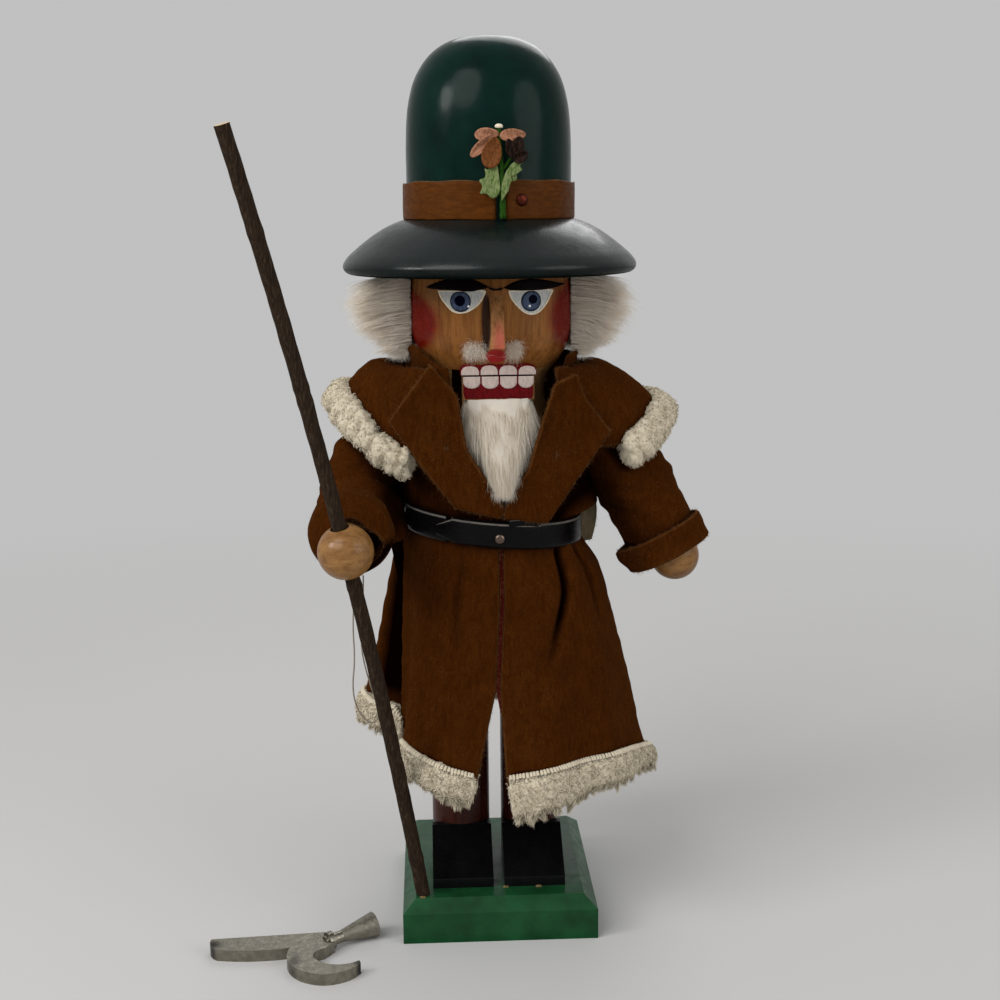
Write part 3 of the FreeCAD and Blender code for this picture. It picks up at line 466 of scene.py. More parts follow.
class Graph:
    """A node material in the making."""

    def __init__(self, name: str) -> None:
        """Starts a material with one shader.

        Args:
            name: Name of the material.
        """
        self.material = bpy.data.materials.new(name)
        self.material.use_nodes = True
        self.tree = self.material.node_tree
        self.shader = self.tree.nodes["Principled BSDF"]
        self.place = self.node("ShaderNodeTexCoord").outputs["Object"]

    def node(self, kind: str, **settings: object) -> bpy.types.Node:
        """Adds a node and sets its properties.

        Args:
            kind: Node type.
            settings: Properties to set.

        Returns:
            The node.
        """
        node = self.tree.nodes.new(kind)
        for key, value in settings.items():
            setattr(node, key, value)
        return node

    def feed(self, socket: bpy.types.NodeSocket, value: object) -> None:
        """Links a socket, or sets its value.

        Args:
            socket: The input.
            value: A socket, a colour or a number.
        """
        if isinstance(value, bpy.types.NodeSocket):
            self.tree.links.new(value, socket)
        elif isinstance(value, tuple) and socket.type == "RGBA":
            socket.default_value = (*value, 1.0)
        else:
            socket.default_value = value

    def set(self, **values: object) -> None:
        """Sets or links the shader's sockets; underscores stand for spaces."""
        for key, value in values.items():
            self.feed(self.shader.inputs[key.replace("_", " ")], value)

    def stretch(self, scale: Colour, turn: Colour = (0.0, 0.0, 0.0)) -> bpy.types.NodeSocket:
        """The place on the piece, scaled and turned.

        Args:
            scale: Factor on each axis.
            turn: Rotation in degrees on each axis.

        Returns:
            A vector socket.
        """
        node = self.node("ShaderNodeMapping")
        self.feed(node.inputs["Vector"], self.place)
        node.inputs["Scale"].default_value = scale
        node.inputs["Rotation"].default_value = tuple(math.radians(a) for a in turn)
        return node.outputs["Vector"]

    def noise(self, size: float, detail: float = 3.0, roughness: float = 0.55, distortion: float = 0.0,
              at: bpy.types.NodeSocket | None = None) -> bpy.types.NodeSocket:
        """Cloudy values.

        Args:
            size: Size of a cloud in millimetres.
            detail: Octaves.
            roughness: Strength of the finer octaves.
            distortion: How far it swirls.
            at: Where it is read, or the plain place.

        Returns:
            A value socket from 0 to 1.
        """
        node = self.node("ShaderNodeTexNoise")
        self.feed(node.inputs["Vector"], at or self.place)
        node.inputs["Scale"].default_value = 1 / (size * MM)
        node.inputs["Detail"].default_value = detail
        node.inputs["Roughness"].default_value = roughness
        node.inputs["Distortion"].default_value = distortion
        return node.outputs["Fac"]

    def cells(self, size: float, at: bpy.types.NodeSocket | None = None) -> bpy.types.NodeSocket:
        """Distance to the nearest of scattered points.

        Args:
            size: Distance between points in millimetres.
            at: Where it is read.

        Returns:
            A value socket.
        """
        node = self.node("ShaderNodeTexVoronoi")
        self.feed(node.inputs["Vector"], at or self.place)
        node.inputs["Scale"].default_value = 1 / (size * MM)
        return node.outputs["Distance"]

    def ramp(self, value: bpy.types.NodeSocket, stops: Sequence[tuple[float, object]]) -> bpy.types.NodeSocket:
        """Turns a value into a colour.

        Args:
            value: A value socket.
            stops: Pairs of place and colour or grey level.

        Returns:
            A colour socket.
        """
        node = self.node("ShaderNodeValToRGB")
        self.feed(node.inputs["Fac"], value)
        elements = node.color_ramp.elements
        while len(elements) < len(stops):
            elements.new(1.0)
        for element, (place, colour) in zip(elements, stops):
            element.position = place
            element.color = (*colour, 1.0) if isinstance(colour, tuple) else (colour, colour, colour, 1.0)
        return node.outputs["Color"]

    def mix(self, share: object, a: object, b: object, blend: str = "MIX") -> bpy.types.NodeSocket:
        """Mixes two colours.

        Args:
            share: How much of the second.
            a: First colour.
            b: Second colour.
            blend: Blend type.

        Returns:
            A colour socket.
        """
        node = self.node("ShaderNodeMix", data_type="RGBA", blend_type=blend)
        self.feed(node.inputs["Factor"], share)
        self.feed(node.inputs[6], a)
        self.feed(node.inputs[7], b)
        return node.outputs[2]

    def maths(self, operation: str, a: object, b: object = 0.0, clamp: bool = False) -> bpy.types.NodeSocket:
        """One sum on two values.

        Args:
            operation: Math node operation.
            a: First value.
            b: Second value.
            clamp: Whether to keep it from 0 to 1.

        Returns:
            A value socket.
        """
        node = self.node("ShaderNodeMath", operation=operation, use_clamp=clamp)
        self.feed(node.inputs[0], a)
        self.feed(node.inputs[1], b)
        return node.outputs[0]

    def axis(self, letter: str) -> bpy.types.NodeSocket:
        """One coordinate of the place, in metres.

        Args:
            letter: X, Y or Z.

        Returns:
            A value socket.
        """
        node = self.node("ShaderNodeSeparateXYZ")
        self.feed(node.inputs[0], self.place)
        return node.outputs[letter]

    def spot(self, centre: Colour, reach: Colour, soft: float) -> bpy.types.NodeSocket:
        """A soft-edged oval blob.

        Args:
            centre: Middle in millimetres.
            reach: Half sizes in millimetres.
            soft: Share of the reach that fades.

        Returns:
            A value socket, 1 inside and 0 outside.
        """
        shifted = self.node("ShaderNodeVectorMath", operation="SUBTRACT")
        self.feed(shifted.inputs[0], self.place)
        shifted.inputs[1].default_value = tuple(c * MM for c in centre)
        scaled = self.node("ShaderNodeVectorMath", operation="DIVIDE")
        self.feed(scaled.inputs[0], shifted.outputs[0])
        scaled.inputs[1].default_value = tuple(r * MM for r in reach)
        length = self.node("ShaderNodeVectorMath", operation="LENGTH")
        self.feed(length.inputs[0], scaled.outputs[0])
        fade = self.node("ShaderNodeMapRange", interpolation_type="SMOOTHSTEP")
        self.feed(fade.inputs["Value"], length.outputs["Value"])
        fade.inputs["From Min"].default_value = 1.0
        fade.inputs["From Max"].default_value = 1.0 - soft
        return fade.outputs["Result"]

    def fold(self) -> bpy.types.NodeSocket:
        """How much painted shade a place takes, as the mesh's fold attribute says."""
        return self.node("ShaderNodeAttribute", attribute_name="fold").outputs["Fac"]

    def open(self, reach: float) -> bpy.types.NodeSocket:
        """How open a place is, from near 0 deep in a fold to 1 on a plain face; finishes darken by it to paint shade
        into hollows.

        Args:
            reach: How far off a wall still counts, in millimetres.

        Returns:
            A value socket.
        """
        node = self.node("ShaderNodeAmbientOcclusion", samples=8)
        node.inputs["Distance"].default_value = reach * MM
        return node.outputs["AO"]

    def bump(self, height: bpy.types.NodeSocket, depth: float, strength: float = 1.0) -> None:
        """Adds relief under what is there already.

        Args:
            height: A value socket.
            depth: Depth in millimetres.
            strength: Strength of the effect.
        """
        node = self.node("ShaderNodeBump")
        node.inputs["Distance"].default_value = depth * MM
        node.inputs["Strength"].default_value = strength
        self.feed(node.inputs["Height"], height)
        normal = self.shader.inputs["Normal"]
        if normal.is_linked:
            self.feed(node.inputs["Normal"], normal.links[0].from_socket)
        self.feed(normal, node.outputs["Normal"])


def shade(colour: Colour, factor: float) -> Colour:
    """A colour made darker or lighter."""
    return tuple(min(1.0, c * factor) for c in colour)


@dataclass(frozen=True)
class Finish:
    """A finish that makes its own material."""

    name: str

    def make(self) -> bpy.types.Material:
        """Builds the material.

        Returns:
            The material, with its nodes linked.
        """
        g = Graph(self.name)
        self.lay(g)
        return g.material

    def lay(self, g: Graph) -> None:
        """Adds this finish's own nodes."""
        raise NotImplementedError


@dataclass(frozen=True)
class Lacquer(Finish):
    """Gloss paint on turned wood."""

    colour: Colour
    roughness: float = 0.28
    coat: float = 0.35
    unevenness: float = 0.35
    grain: float = 0.03
    wear: Colour | None = None
    shine: float = 0.14
    dull_below: float = -1.0

    def lay(self, g: Graph) -> None:
        """Sets up the nodes.

        Args:
            g: The material in the making.
        """
        cloud = g.noise(14.0, 4.0)
        low, high = shade(self.colour, 1 - self.unevenness), shade(self.colour, 1 + self.unevenness)
        base = g.ramp(cloud, [(0.3, low), (0.7, high)])
        if self.wear:
            specks = g.maths("GREATER_THAN", g.noise(2.2, 5.0, 0.7), 0.74)
            base = g.mix(g.maths("MULTIPLY", specks, 0.8), base, self.wear)
        over = g.maths("MULTIPLY", g.maths("SUBTRACT", g.axis("Z"), self.dull_below * MM), 170.0, clamp=True)
        g.set(Base_Color=base, Coat_Weight=g.maths("MULTIPLY", over, self.coat), Coat_Roughness=0.08)
        g.set(Specular_IOR_Level=g.maths("MULTIPLY", over, self.shine))
        rough = g.ramp(g.noise(5.0, 4.0), [(0.3, self.roughness * 0.8), (0.7, self.roughness * 1.35)])
        g.set(Roughness=rough)
        g.bump(g.noise(1.6, 2.0, at=g.stretch((1.0, 1.0, 0.25))), self.grain)
        g.bump(g.noise(9.0, 1.0), self.grain * 3)


@dataclass(frozen=True)
class SteppedLacquer(Finish):
    """Gloss paint of one colour up to a height and another above it."""

    low: Colour
    high: Colour
    height: float

    def lay(self, g: Graph) -> None:
        """Sets up the nodes.

        Args:
            g: The material in the making.
        """
        wobble = g.maths("MULTIPLY", g.noise(6.0), 0.0012)
        above = g.maths("GREATER_THAN", g.maths("ADD", g.axis("Z"), wobble), self.height * MM)
        streak = g.noise(3.0, 4.0, at=g.stretch((1.0, 1.0, 0.06)))
        stain = g.ramp(streak, [(0.35, shade(self.high, 0.55)), (0.65, shade(self.high, 1.4))])
        g.set(Base_Color=g.mix(above, self.low, stain), Coat_Weight=0.1, Coat_Roughness=0.12, Specular_IOR_Level=0.12)
        g.set(Roughness=g.ramp(g.noise(4.0), [(0.3, 0.22), (0.7, 0.4)]))
        g.bump(streak, 0.05)


@dataclass(frozen=True)
class BareWood(Finish):
    """Sanded wood with growth rings round an axis."""

    light: Colour
    dark: Colour
    scale: Colour = (1.0, 1.0, 0.06)
    turn: Colour = (0.0, 0.0, 0.0)
    ring: float = 2.6
    roughness: float = 0.42
    coat: float = 0.15

    def colour(self, g: Graph) -> bpy.types.NodeSocket:
        """The wood's colour.

        Args:
            g: The material in the making.

        Returns:
            A colour socket.
        """
        along = g.stretch(self.scale, self.turn)
        rings = g.noise(self.ring, 2.0, 0.4, 0.6, along)
        fine = g.noise(0.7, 3.0, 0.6, 0.2, along)
        broad = g.noise(9.0, 1.0, 0.5, 0.0, along)
        base = g.ramp(rings, [(0.36, self.dark), (0.5, self.light), (0.64, shade(self.light, 1.12))])
        base = g.mix(0.45, base, g.ramp(fine, [(0.35, shade(self.dark, 0.85)), (0.65, self.light)]))
        return g.mix(g.ramp(broad, [(0.4, 0.0), (0.7, 0.4)]), base, shade(self.dark, 0.9), "MULTIPLY")

    def lay(self, g: Graph) -> None:
        """Sets up the nodes.

        Args:
            g: The material in the making.
        """
        g.set(Base_Color=self.colour(g), Coat_Weight=self.coat, Coat_Roughness=0.2, Specular_IOR_Level=0.12)
        g.set(Roughness=g.ramp(g.noise(3.0), [(0.3, self.roughness * 0.85), (0.7, self.roughness * 1.2)]))
        g.bump(g.noise(0.8, 3.0, at=g.stretch(self.scale, self.turn)), 0.05)


@dataclass(frozen=True)
class PaintedWood(BareWood):
    """Varnished wood with airbrushed patches."""

    patches: tuple[tuple[Colour, Colour, float, Colour, float], ...] = ()

    def lay(self, g: Graph) -> None:
        """Sets up the nodes.

        Args:
            g: The material in the making.
        """
        base = self.colour(g)
        for centre, reach, soft, colour, strength in self.patches:
            share = g.maths("MULTIPLY", g.spot(centre, reach, soft), strength)
            uneven = g.ramp(g.noise(3.5, 3.0), [(0.25, shade(colour, 0.8)), (0.75, shade(colour, 1.2))])
            base = g.mix(share, base, uneven)
        g.set(Base_Color=base, Coat_Weight=self.coat, Coat_Roughness=0.12, Specular_IOR_Level=0.1)
        g.set(Roughness=g.ramp(g.noise(2.0, 4.0), [(0.3, self.roughness * 0.7), (0.7, self.roughness * 1.3)]))
        g.bump(g.noise(0.9, 3.0, at=g.stretch(self.scale, self.turn)), 0.05)
        g.bump(g.noise(6.0, 1.0), 0.12)


@dataclass(frozen=True)
class Felt(Finish):
    """Pressed wool felt, with painted shade in its hollows and folds."""

    colour: Colour
    light: Colour
    # dark: the colour of the painted shade in hollows and, darker still, in folds
    dark: Colour

    def lay(self, g: Graph) -> None:
        """Sets up the nodes.

        Args:
            g: The material in the making.
        """
        fibre = g.noise(0.6, 5.0, 0.75, 1.6)
        streak = g.noise(1.9, 4.0, 0.65, 0.8, g.stretch((1.0, 1.0, 0.3)))
        patch = g.noise(17.0, 4.0, 0.6, 0.5)
        base = g.ramp(fibre, [(0.32, shade(self.colour, 0.6)), (0.5, self.colour), (0.72, self.light)])
        base = g.mix(g.ramp(streak, [(0.36, 0.75), (0.56, 0.0)]), base, shade(self.colour, 0.55))
        base = g.mix(g.ramp(patch, [(0.38, 0.0), (0.68, 0.5)]), base, shade(self.colour, 0.6))
        # Painted shade: darker felt in hollows, by ambient occlusion.
        base = g.mix(g.ramp(g.open(9.0), [(0.3, 1.0), (0.85, 0.0)]), base, self.dark)
        # Painted shade: near black felt where the mesh's fold value is high, in pleats, creases and under lapels, with
        # no sheen there.
        base = g.mix(g.fold(), base, shade(self.dark, 0.3))
        sheen = g.maths("MULTIPLY", g.maths("SUBTRACT", 1.0, g.fold()), 0.03)
        g.set(Base_Color=base, Roughness=0.97, Sheen_Weight=sheen, Sheen_Roughness=0.5)
        g.set(Sheen_Tint=(0.75, 0.42, 0.2), Specular_IOR_Level=0.0)
        g.bump(fibre, 0.22, 0.9)
        g.bump(streak, 0.3, 0.6)
        g.bump(g.noise(6.0, 3.0), 0.7, 0.5)


@dataclass(frozen=True)
class Pile(Finish):
    """Hairs of fur, fleece or wool."""

    colour: Colour
    shadow: Colour
    patch: float = 3.0
    roughness: float = 0.75
    # depth: reach of the painted shade in hollows in millimetres, or 0 for none
    depth: float = 0.0
    glow: float = 0.0

    def lay(self, g: Graph) -> None:
        """Sets up the nodes, with a share of the light coming through the hairs and, where depth is set, painted shade
        in hollows.

        Args:
            g: The material in the making.
        """
        base = g.ramp(g.noise(self.patch, 3.0), [(0.3, self.shadow), (0.6, self.colour)])
        base = g.mix(g.ramp(g.noise(0.6, 2.0), [(0.4, 0.0), (0.8, 0.3)]), base, self.shadow)
        # Painted shade: darker hairs in hollows, by ambient occlusion.
        if self.depth:
            painted_hollow_shade = g.ramp(g.open(self.depth), [(0.15, 0.9), (0.75, 0.0)])
            base = g.mix(painted_hollow_shade, base, shade(self.shadow, 0.5))
        g.set(Base_Color=base, Roughness=self.roughness, Sheen_Weight=0.05, Specular_IOR_Level=0.08)
        g.bump(g.noise(0.5, 2.0), 0.08)
        if self.glow:
            through = g.node("ShaderNodeBsdfTranslucent")
            g.feed(through.inputs["Color"], base)
            blend = g.node("ShaderNodeMixShader")
            blend.inputs["Fac"].default_value = self.glow
            g.feed(blend.inputs[1], g.shader.outputs["BSDF"])
            g.feed(blend.inputs[2], through.outputs["BSDF"])
            g.feed(g.tree.nodes["Material Output"].inputs["Surface"], blend.outputs["Shader"])


@dataclass(frozen=True)
class Leather(Finish):
    """Strap leather."""

    colour: Colour
    roughness: float
    depth: float = 0.08
    shine: float = 0.08

    def lay(self, g: Graph) -> None:
        """Sets up the nodes.

        Args:
            g: The material in the making.
        """
        streak = g.noise(1.2, 4.0, 0.6, 0.3, g.stretch((0.25, 0.25, 1.0)))
        base = g.ramp(streak, [(0.3, shade(self.colour, 0.7)), (0.7, shade(self.colour, 1.3))])
        stain = g.ramp(g.noise(7.0, 3.0), [(0.4, 0.0), (0.7, 0.5)])
        base = g.mix(stain, base, shade(self.colour, 0.6))
        g.set(Base_Color=base, Specular_IOR_Level=self.shine)
        g.set(Roughness=g.ramp(g.noise(2.5, 4.0), [(0.3, self.roughness * 0.75), (0.7, self.roughness * 1.3)]))
        g.bump(g.cells(0.5), self.depth * 0.6)
        g.bump(streak, self.depth)


@dataclass(frozen=True)
class Metal(Finish):
    """Cast metal, with darkened places."""

    colour: Colour
    roughness: float = 0.35
    dark_spots: tuple[tuple[Colour, Colour, float], ...] = ()

    def lay(self, g: Graph) -> None:
        """Sets up the nodes.

        Args:
            g: The material in the making.
        """
        cloud = g.noise(3.0, 4.0, 0.6)
        base = g.ramp(cloud, [(0.3, shade(self.colour, 0.72)), (0.7, shade(self.colour, 1.15))])
        for centre, reach, soft in self.dark_spots:
            base = g.mix(g.spot(centre, reach, soft), base, shade(self.colour, 0.06))
        g.set(Base_Color=base, Metallic=1.0)
        g.set(Roughness=g.ramp(g.noise(1.2, 4.0), [(0.3, self.roughness * 0.7), (0.7, self.roughness * 1.5)]))
        g.bump(g.noise(1.0, 4.0), 0.07)
        g.bump(g.noise(5.0, 2.0), 0.25)


@dataclass(frozen=True)
class Enamel(Finish):
    """Brushed-on paint of one colour."""

    colour: Colour
    second: Colour | None = None
    roughness: float = 0.35
    shine: float = 0.08

    def lay(self, g: Graph) -> None:
        """Sets up the nodes.

        Args:
            g: The material in the making.
        """
        second = self.second or shade(self.colour, 0.75)
        brush = g.noise(0.9, 3.0, 0.6, 0.3, g.stretch((1.0, 1.0, 0.4)))
        g.set(Base_Color=g.ramp(brush, [(0.35, second), (0.6, self.colour)]), Specular_IOR_Level=self.shine)
        g.set(Roughness=g.ramp(g.noise(1.5), [(0.3, self.roughness * 0.8), (0.7, self.roughness * 1.3)]))
        g.bump(brush, 0.03)


@dataclass(frozen=True)
class Bark(Finish):
    """Dark rough bark of a thin twig."""

    colour: Colour
    light: Colour

    def lay(self, g: Graph) -> None:
        """Sets up the nodes.

        Args:
            g: The material in the making.
        """
        along = g.stretch((1.0, 1.0, 0.12))
        ridge = g.noise(0.8, 5.0, 0.65, 0.4, along)
        base = g.ramp(ridge, [(0.35, shade(self.colour, 0.45)), (0.55, self.colour), (0.75, self.light)])
        g.set(Base_Color=base, Roughness=0.75, Specular_IOR_Level=0.05)
        g.bump(ridge, 0.28)
        g.bump(g.noise(4.0, 3.0), 0.4, 0.5)


# What the pieces are finished with

FELT = Felt("coat_felt_brown", (0.052, 0.0138, 0.0019), (0.098, 0.031, 0.0058), (0.0065, 0.0013, 0.0007))
# The felt's cut rims: a paler raw edge, lightened further as painted highlight where edges catch the light.
FELT_EDGE_AND_HIGHLIGHT = Felt("coat_felt_cut_edge_and_highlight", (0.07, 0.022, 0.0045), (0.2, 0.1, 0.036), (0.02, 0.005, 0.002))
LINING = Felt("split_felt_maroon", (0.09, 0.004, 0.006), (0.12, 0.008, 0.01), (0.05, 0.0022, 0.0035))
OLIVE = Felt("side_strip_olive", (0.25, 0.2, 0.12), (0.32, 0.26, 0.16), (0.12, 0.09, 0.05))
FUZZ = Pile("felt_fuzz", (0.22, 0.1, 0.038), (0.085, 0.03, 0.008), 5.0, 0.9)
# The fleece's last number is the reach of its painted shade in hollows.
FLEECE = Pile("cream_fleece", (0.62, 0.55, 0.42), (0.53, 0.46, 0.34), 6.0, 0.9, 0.8)
FUR = Pile("white_fur", (0.92, 0.87, 0.79), (0.8, 0.73, 0.64), 11.0, 0.8, glow=0.4)
# A darker fur for the core under the hairs: painted shade deep in the fur.
FUR_SHADED_CORE = Pile("white_fur_shaded_core", (0.74, 0.68, 0.6), (0.58, 0.52, 0.45), 5.0, 0.9)
SILK = Pile("silky_beard", (0.85, 0.79, 0.69), (0.77, 0.7, 0.6), 12.0, 0.7, glow=0.35)
GREEN = Lacquer("base_green_gloss", (0.0065, 0.05, 0.016), 0.34, 0.1, wear=(0.12, 0.1, 0.05))
BOOT = Lacquer("boot_black_gloss", (0.003, 0.003, 0.0034), 0.28, 0.15, wear=(0.07, 0.055, 0.04))
LEG = SteppedLacquer("leg_brown_over_black", (0.004, 0.0035, 0.0035), (0.036, 0.007, 0.004), 42.0)
CROWN = Lacquer("hat_green_gloss", (0.001, 0.0125, 0.0092), 0.2, 0.025, 0.25, 0.03, shine=0.07)
BRIM = Lacquer("brim_black_green", (0.004, 0.0075, 0.007), 0.26, 0.08, 0.25, 0.03, shine=0.27, dull_below=321.0)
PLAIN_WOOD = BareWood("sanded_wood", (0.36, 0.2, 0.085), (0.22, 0.11, 0.04))
BALL_WOOD = BareWood(
    "hand_wood", (0.3, 0.152, 0.05), (0.2, 0.09, 0.026), (0.3, 1.0, 1.0), (20.0, 0.0, 30.0), 2.2, 0.34, 0.2)
DOWEL_WOOD = BareWood("dowel_wood", (0.5, 0.34, 0.17), (0.36, 0.22, 0.1))
LEVER_WOOD = BareWood("lever_wood", (0.27, 0.125, 0.042), (0.14, 0.055, 0.015), (1.0, 1.0, 0.06), ring=3.4, coat=0.1)
CHEEK = (0.12, 0.0035, 0.0015)
FACE = PaintedWood(
    "face_wood_varnished", (0.285, 0.115, 0.029), (0.18, 0.064, 0.0135), ring=1.9, roughness=0.3, coat=0.04,
    patches=(
        ((-42.0, -10.0, 298.5), (31.0, 31.0, 17.5), 0.3, CHEEK, 0.98),
        ((42.0, -10.0, 300.5), (30.0, 30.0, 20.0), 0.34, CHEEK, 0.97),
        # Painted shade: a dark strip on the face down the left side of the nose.
        ((-3.5, -39.0, 299.0), (2.3, 8.0, 18.0), 0.35, (0.016, 0.006, 0.003), 0.92),
        ((1.2, -38.0, 283.2), (6.2, 9.0, 4.2), 0.3, (0.3, 0.012, 0.012), 1.0),
    ),
)
NOSE = PaintedWood(
    "nose_wood", (0.36, 0.17, 0.065), (0.19, 0.075, 0.022), ring=1.4, roughness=0.35, coat=0.08,
    patches=(
        ((2.4, -50.0, 293.0), (4.6, 9.0, 18.0), 0.75, (0.4, 0.085, 0.055), 0.85),
        ((1.2, -50.0, 286.6), (7.0, 14.0, 2.2), 0.5, (0.34, 0.03, 0.024), 0.8),
        # Painted shade: a near black strip down the nose's left side.
        ((-3.4, -44.0, 301.0), (2.4, 14.0, 19.0), 0.35, (0.012, 0.004, 0.002), 0.96),
    ),
)
BROW_PAINT_AND_BITE_SHADOW = Enamel("brow_black_and_bite_shadow", (0.0022, 0.001, 0.001), (0.004, 0.0012, 0.001), 0.35, 0.03)
EYE_WHITE = Enamel("eye_white", (0.56, 0.56, 0.54), (0.44, 0.44, 0.43), 0.35)
EYE_RIM = Enamel("eye_cream_rim", (0.8, 0.71, 0.56), (0.64, 0.54, 0.4), 0.35)
IRIS = Enamel("iris_slate", (0.07, 0.095, 0.16), (0.035, 0.05, 0.09), 0.25, 0.05)
IRIS_RING = Enamel("iris_dark_ring", (0.008, 0.012, 0.022), None, 0.25, 0.05)
PUPIL = Enamel("pupil_navy", (0.0008, 0.0016, 0.009), None, 0.3, 0.01)
GLINT = Enamel("eye_glint", (0.95, 0.95, 0.95), (0.8, 0.82, 0.88), 0.2)
TOOTH = Enamel("tooth_cream", (0.5, 0.41, 0.37), (0.4, 0.32, 0.28), 0.3)
LIP = Enamel("lip_red", (0.12, 0.003, 0.005), (0.07, 0.0015, 0.0025), 0.3)
BAND = Leather("band_tan_leather", (0.082, 0.024, 0.0022), 0.42, shine=0.05)
BAND_EDGE = Leather("band_raw_edge", (0.42, 0.27, 0.13), 0.7)
BELT = Leather("belt_black_leather", (0.0028, 0.0024, 0.0025), 0.26, shine=0.09)
BELT_EDGE = Leather("belt_raw_edge", (0.1, 0.09, 0.078), 0.7)
RED_RIVET = Metal("band_rivet_red_brown", (0.075, 0.016, 0.009), 0.35)
DARK_RIVET = Metal("belt_rivet_bronze", (0.14, 0.1, 0.08), 0.3)
PEWTER = Metal(
    "hook_pewter", (0.26, 0.24, 0.195), 0.33,
    (
        ((-139.0, -60.0, 3.0), (7.0, 7.0, 7.0), 0.7),
        ((-66.0, -81.0, 3.0), (7.0, 6.0, 7.0), 0.7),
        ((-98.0, -78.0, 3.0), (5.0, 10.0, 6.0), 0.9),
    ),
)
STEEL = Metal("pin_steel_brushed", (0.55, 0.55, 0.56), 0.3)
STAFF_BARK = Bark("staff_bark", (0.029, 0.018, 0.011), (0.07, 0.048, 0.03))
STAFF_CUT = BareWood("staff_cut_end", (0.6, 0.47, 0.3), (0.42, 0.3, 0.17), (1.0, 1.0, 1.0))
STEM = Bark("sprig_stem_green", (0.016, 0.06, 0.005), (0.07, 0.13, 0.025))
LEAF = Enamel("sprig_leaf_green", (0.2, 0.24, 0.1), (0.06, 0.11, 0.02), 0.6)
PINK = Enamel("sprig_petal_pink", (0.36, 0.17, 0.1), (0.2, 0.08, 0.04), 0.55)
BROWN_PETAL = Enamel("sprig_petal_brown", (0.16, 0.055, 0.014), (0.075, 0.022, 0.005), 0.55)
DARK_PETAL = Enamel("sprig_petal_dark", (0.008, 0.005, 0.004), (0.03, 0.014, 0.009), 0.5, 0.03)
THREAD = Pile("loose_thread", (0.26, 0.225, 0.18), (0.14, 0.12, 0.09), 0.8)
GLUE = Enamel("glue_amber", (0.2, 0.14, 0.06), (0.1, 0.065, 0.025), 0.15)


class Paintbox:
    """Makes each finish once and hands it out."""

    def __init__(self) -> None:
        """Starts empty."""
        self.made: dict[str, bpy.types.Material] = {}

    def take(self, *finishes: Finish) -> list[bpy.types.Material]:
        """The materials of some finishes, in order.

        Args:
            finishes: What to make or hand out.

        Returns:
            The materials.
        """
        for finish in finishes:
            if finish.name not in self.made:
                self.made[finish.name] = finish.make()
        return [self.made[finish.name] for finish in finishes]


def dress(paints: Paintbox, node: str, finish: Finish, bevel: float = 0.4) -> None:
    """Finishes a CAD node that stays in view.

    Args:
        paints: Where materials come from.
        node: The node's name.
        finish: Its finish.
        bevel: Width of the rounded edges in millimetres, or 0.
    """
    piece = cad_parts[node]
    piece.data.materials.clear()
    piece.data.materials.append(paints.take(finish)[0])
    if bevel:
        edge = piece.modifiers.new("Rounded edges", "BEVEL")
        edge.width = bevel * MM
        edge.segments = 3
        edge.limit_method = "ANGLE"
        edge.angle_limit = math.radians(35)
        edge.harden_normals = True
    log.info("%s: dressed as %s", node, finish.name)


def floor_material(colour: Colour, far: float) -> bpy.types.Material:
    """A plain pale floor that takes the object's shadow and runs into the backdrop.

    Args:
        colour: Its colour.
        far: How bright the far floor looks to the camera.

    Returns:
        The material.
    """
    g = Graph("floor_pale")
    g.set(Base_Color=g.ramp(g.noise(300.0, 1.0), [(0.3, shade(colour, 0.985)), (0.7, colour)]), Roughness=0.9)
    g.set(Specular_IOR_Level=0.1)
    near = g.spot((0.0, 0.0, 0.0), (1100.0, 1100.0, 1100.0), 0.72)
    seen = g.node("ShaderNodeLightPath").outputs["Is Camera Ray"]
    away = g.maths("MULTIPLY", g.maths("SUBTRACT", 1.0, near), seen)
    glow = g.node("ShaderNodeEmission")
    glow.inputs["Color"].default_value = (1.0, 1.0, 1.0, 1.0)
    glow.inputs["Strength"].default_value = far
    blend = g.node("ShaderNodeMixShader")
    g.feed(blend.inputs["Fac"], away)
    g.feed(blend.inputs[1], g.shader.outputs["BSDF"])
    g.feed(blend.inputs[2], glow.outputs["Emission"])
    g.feed(g.tree.nodes["Material Output"].inputs["Surface"], blend.outputs["Shader"])
    return g.material


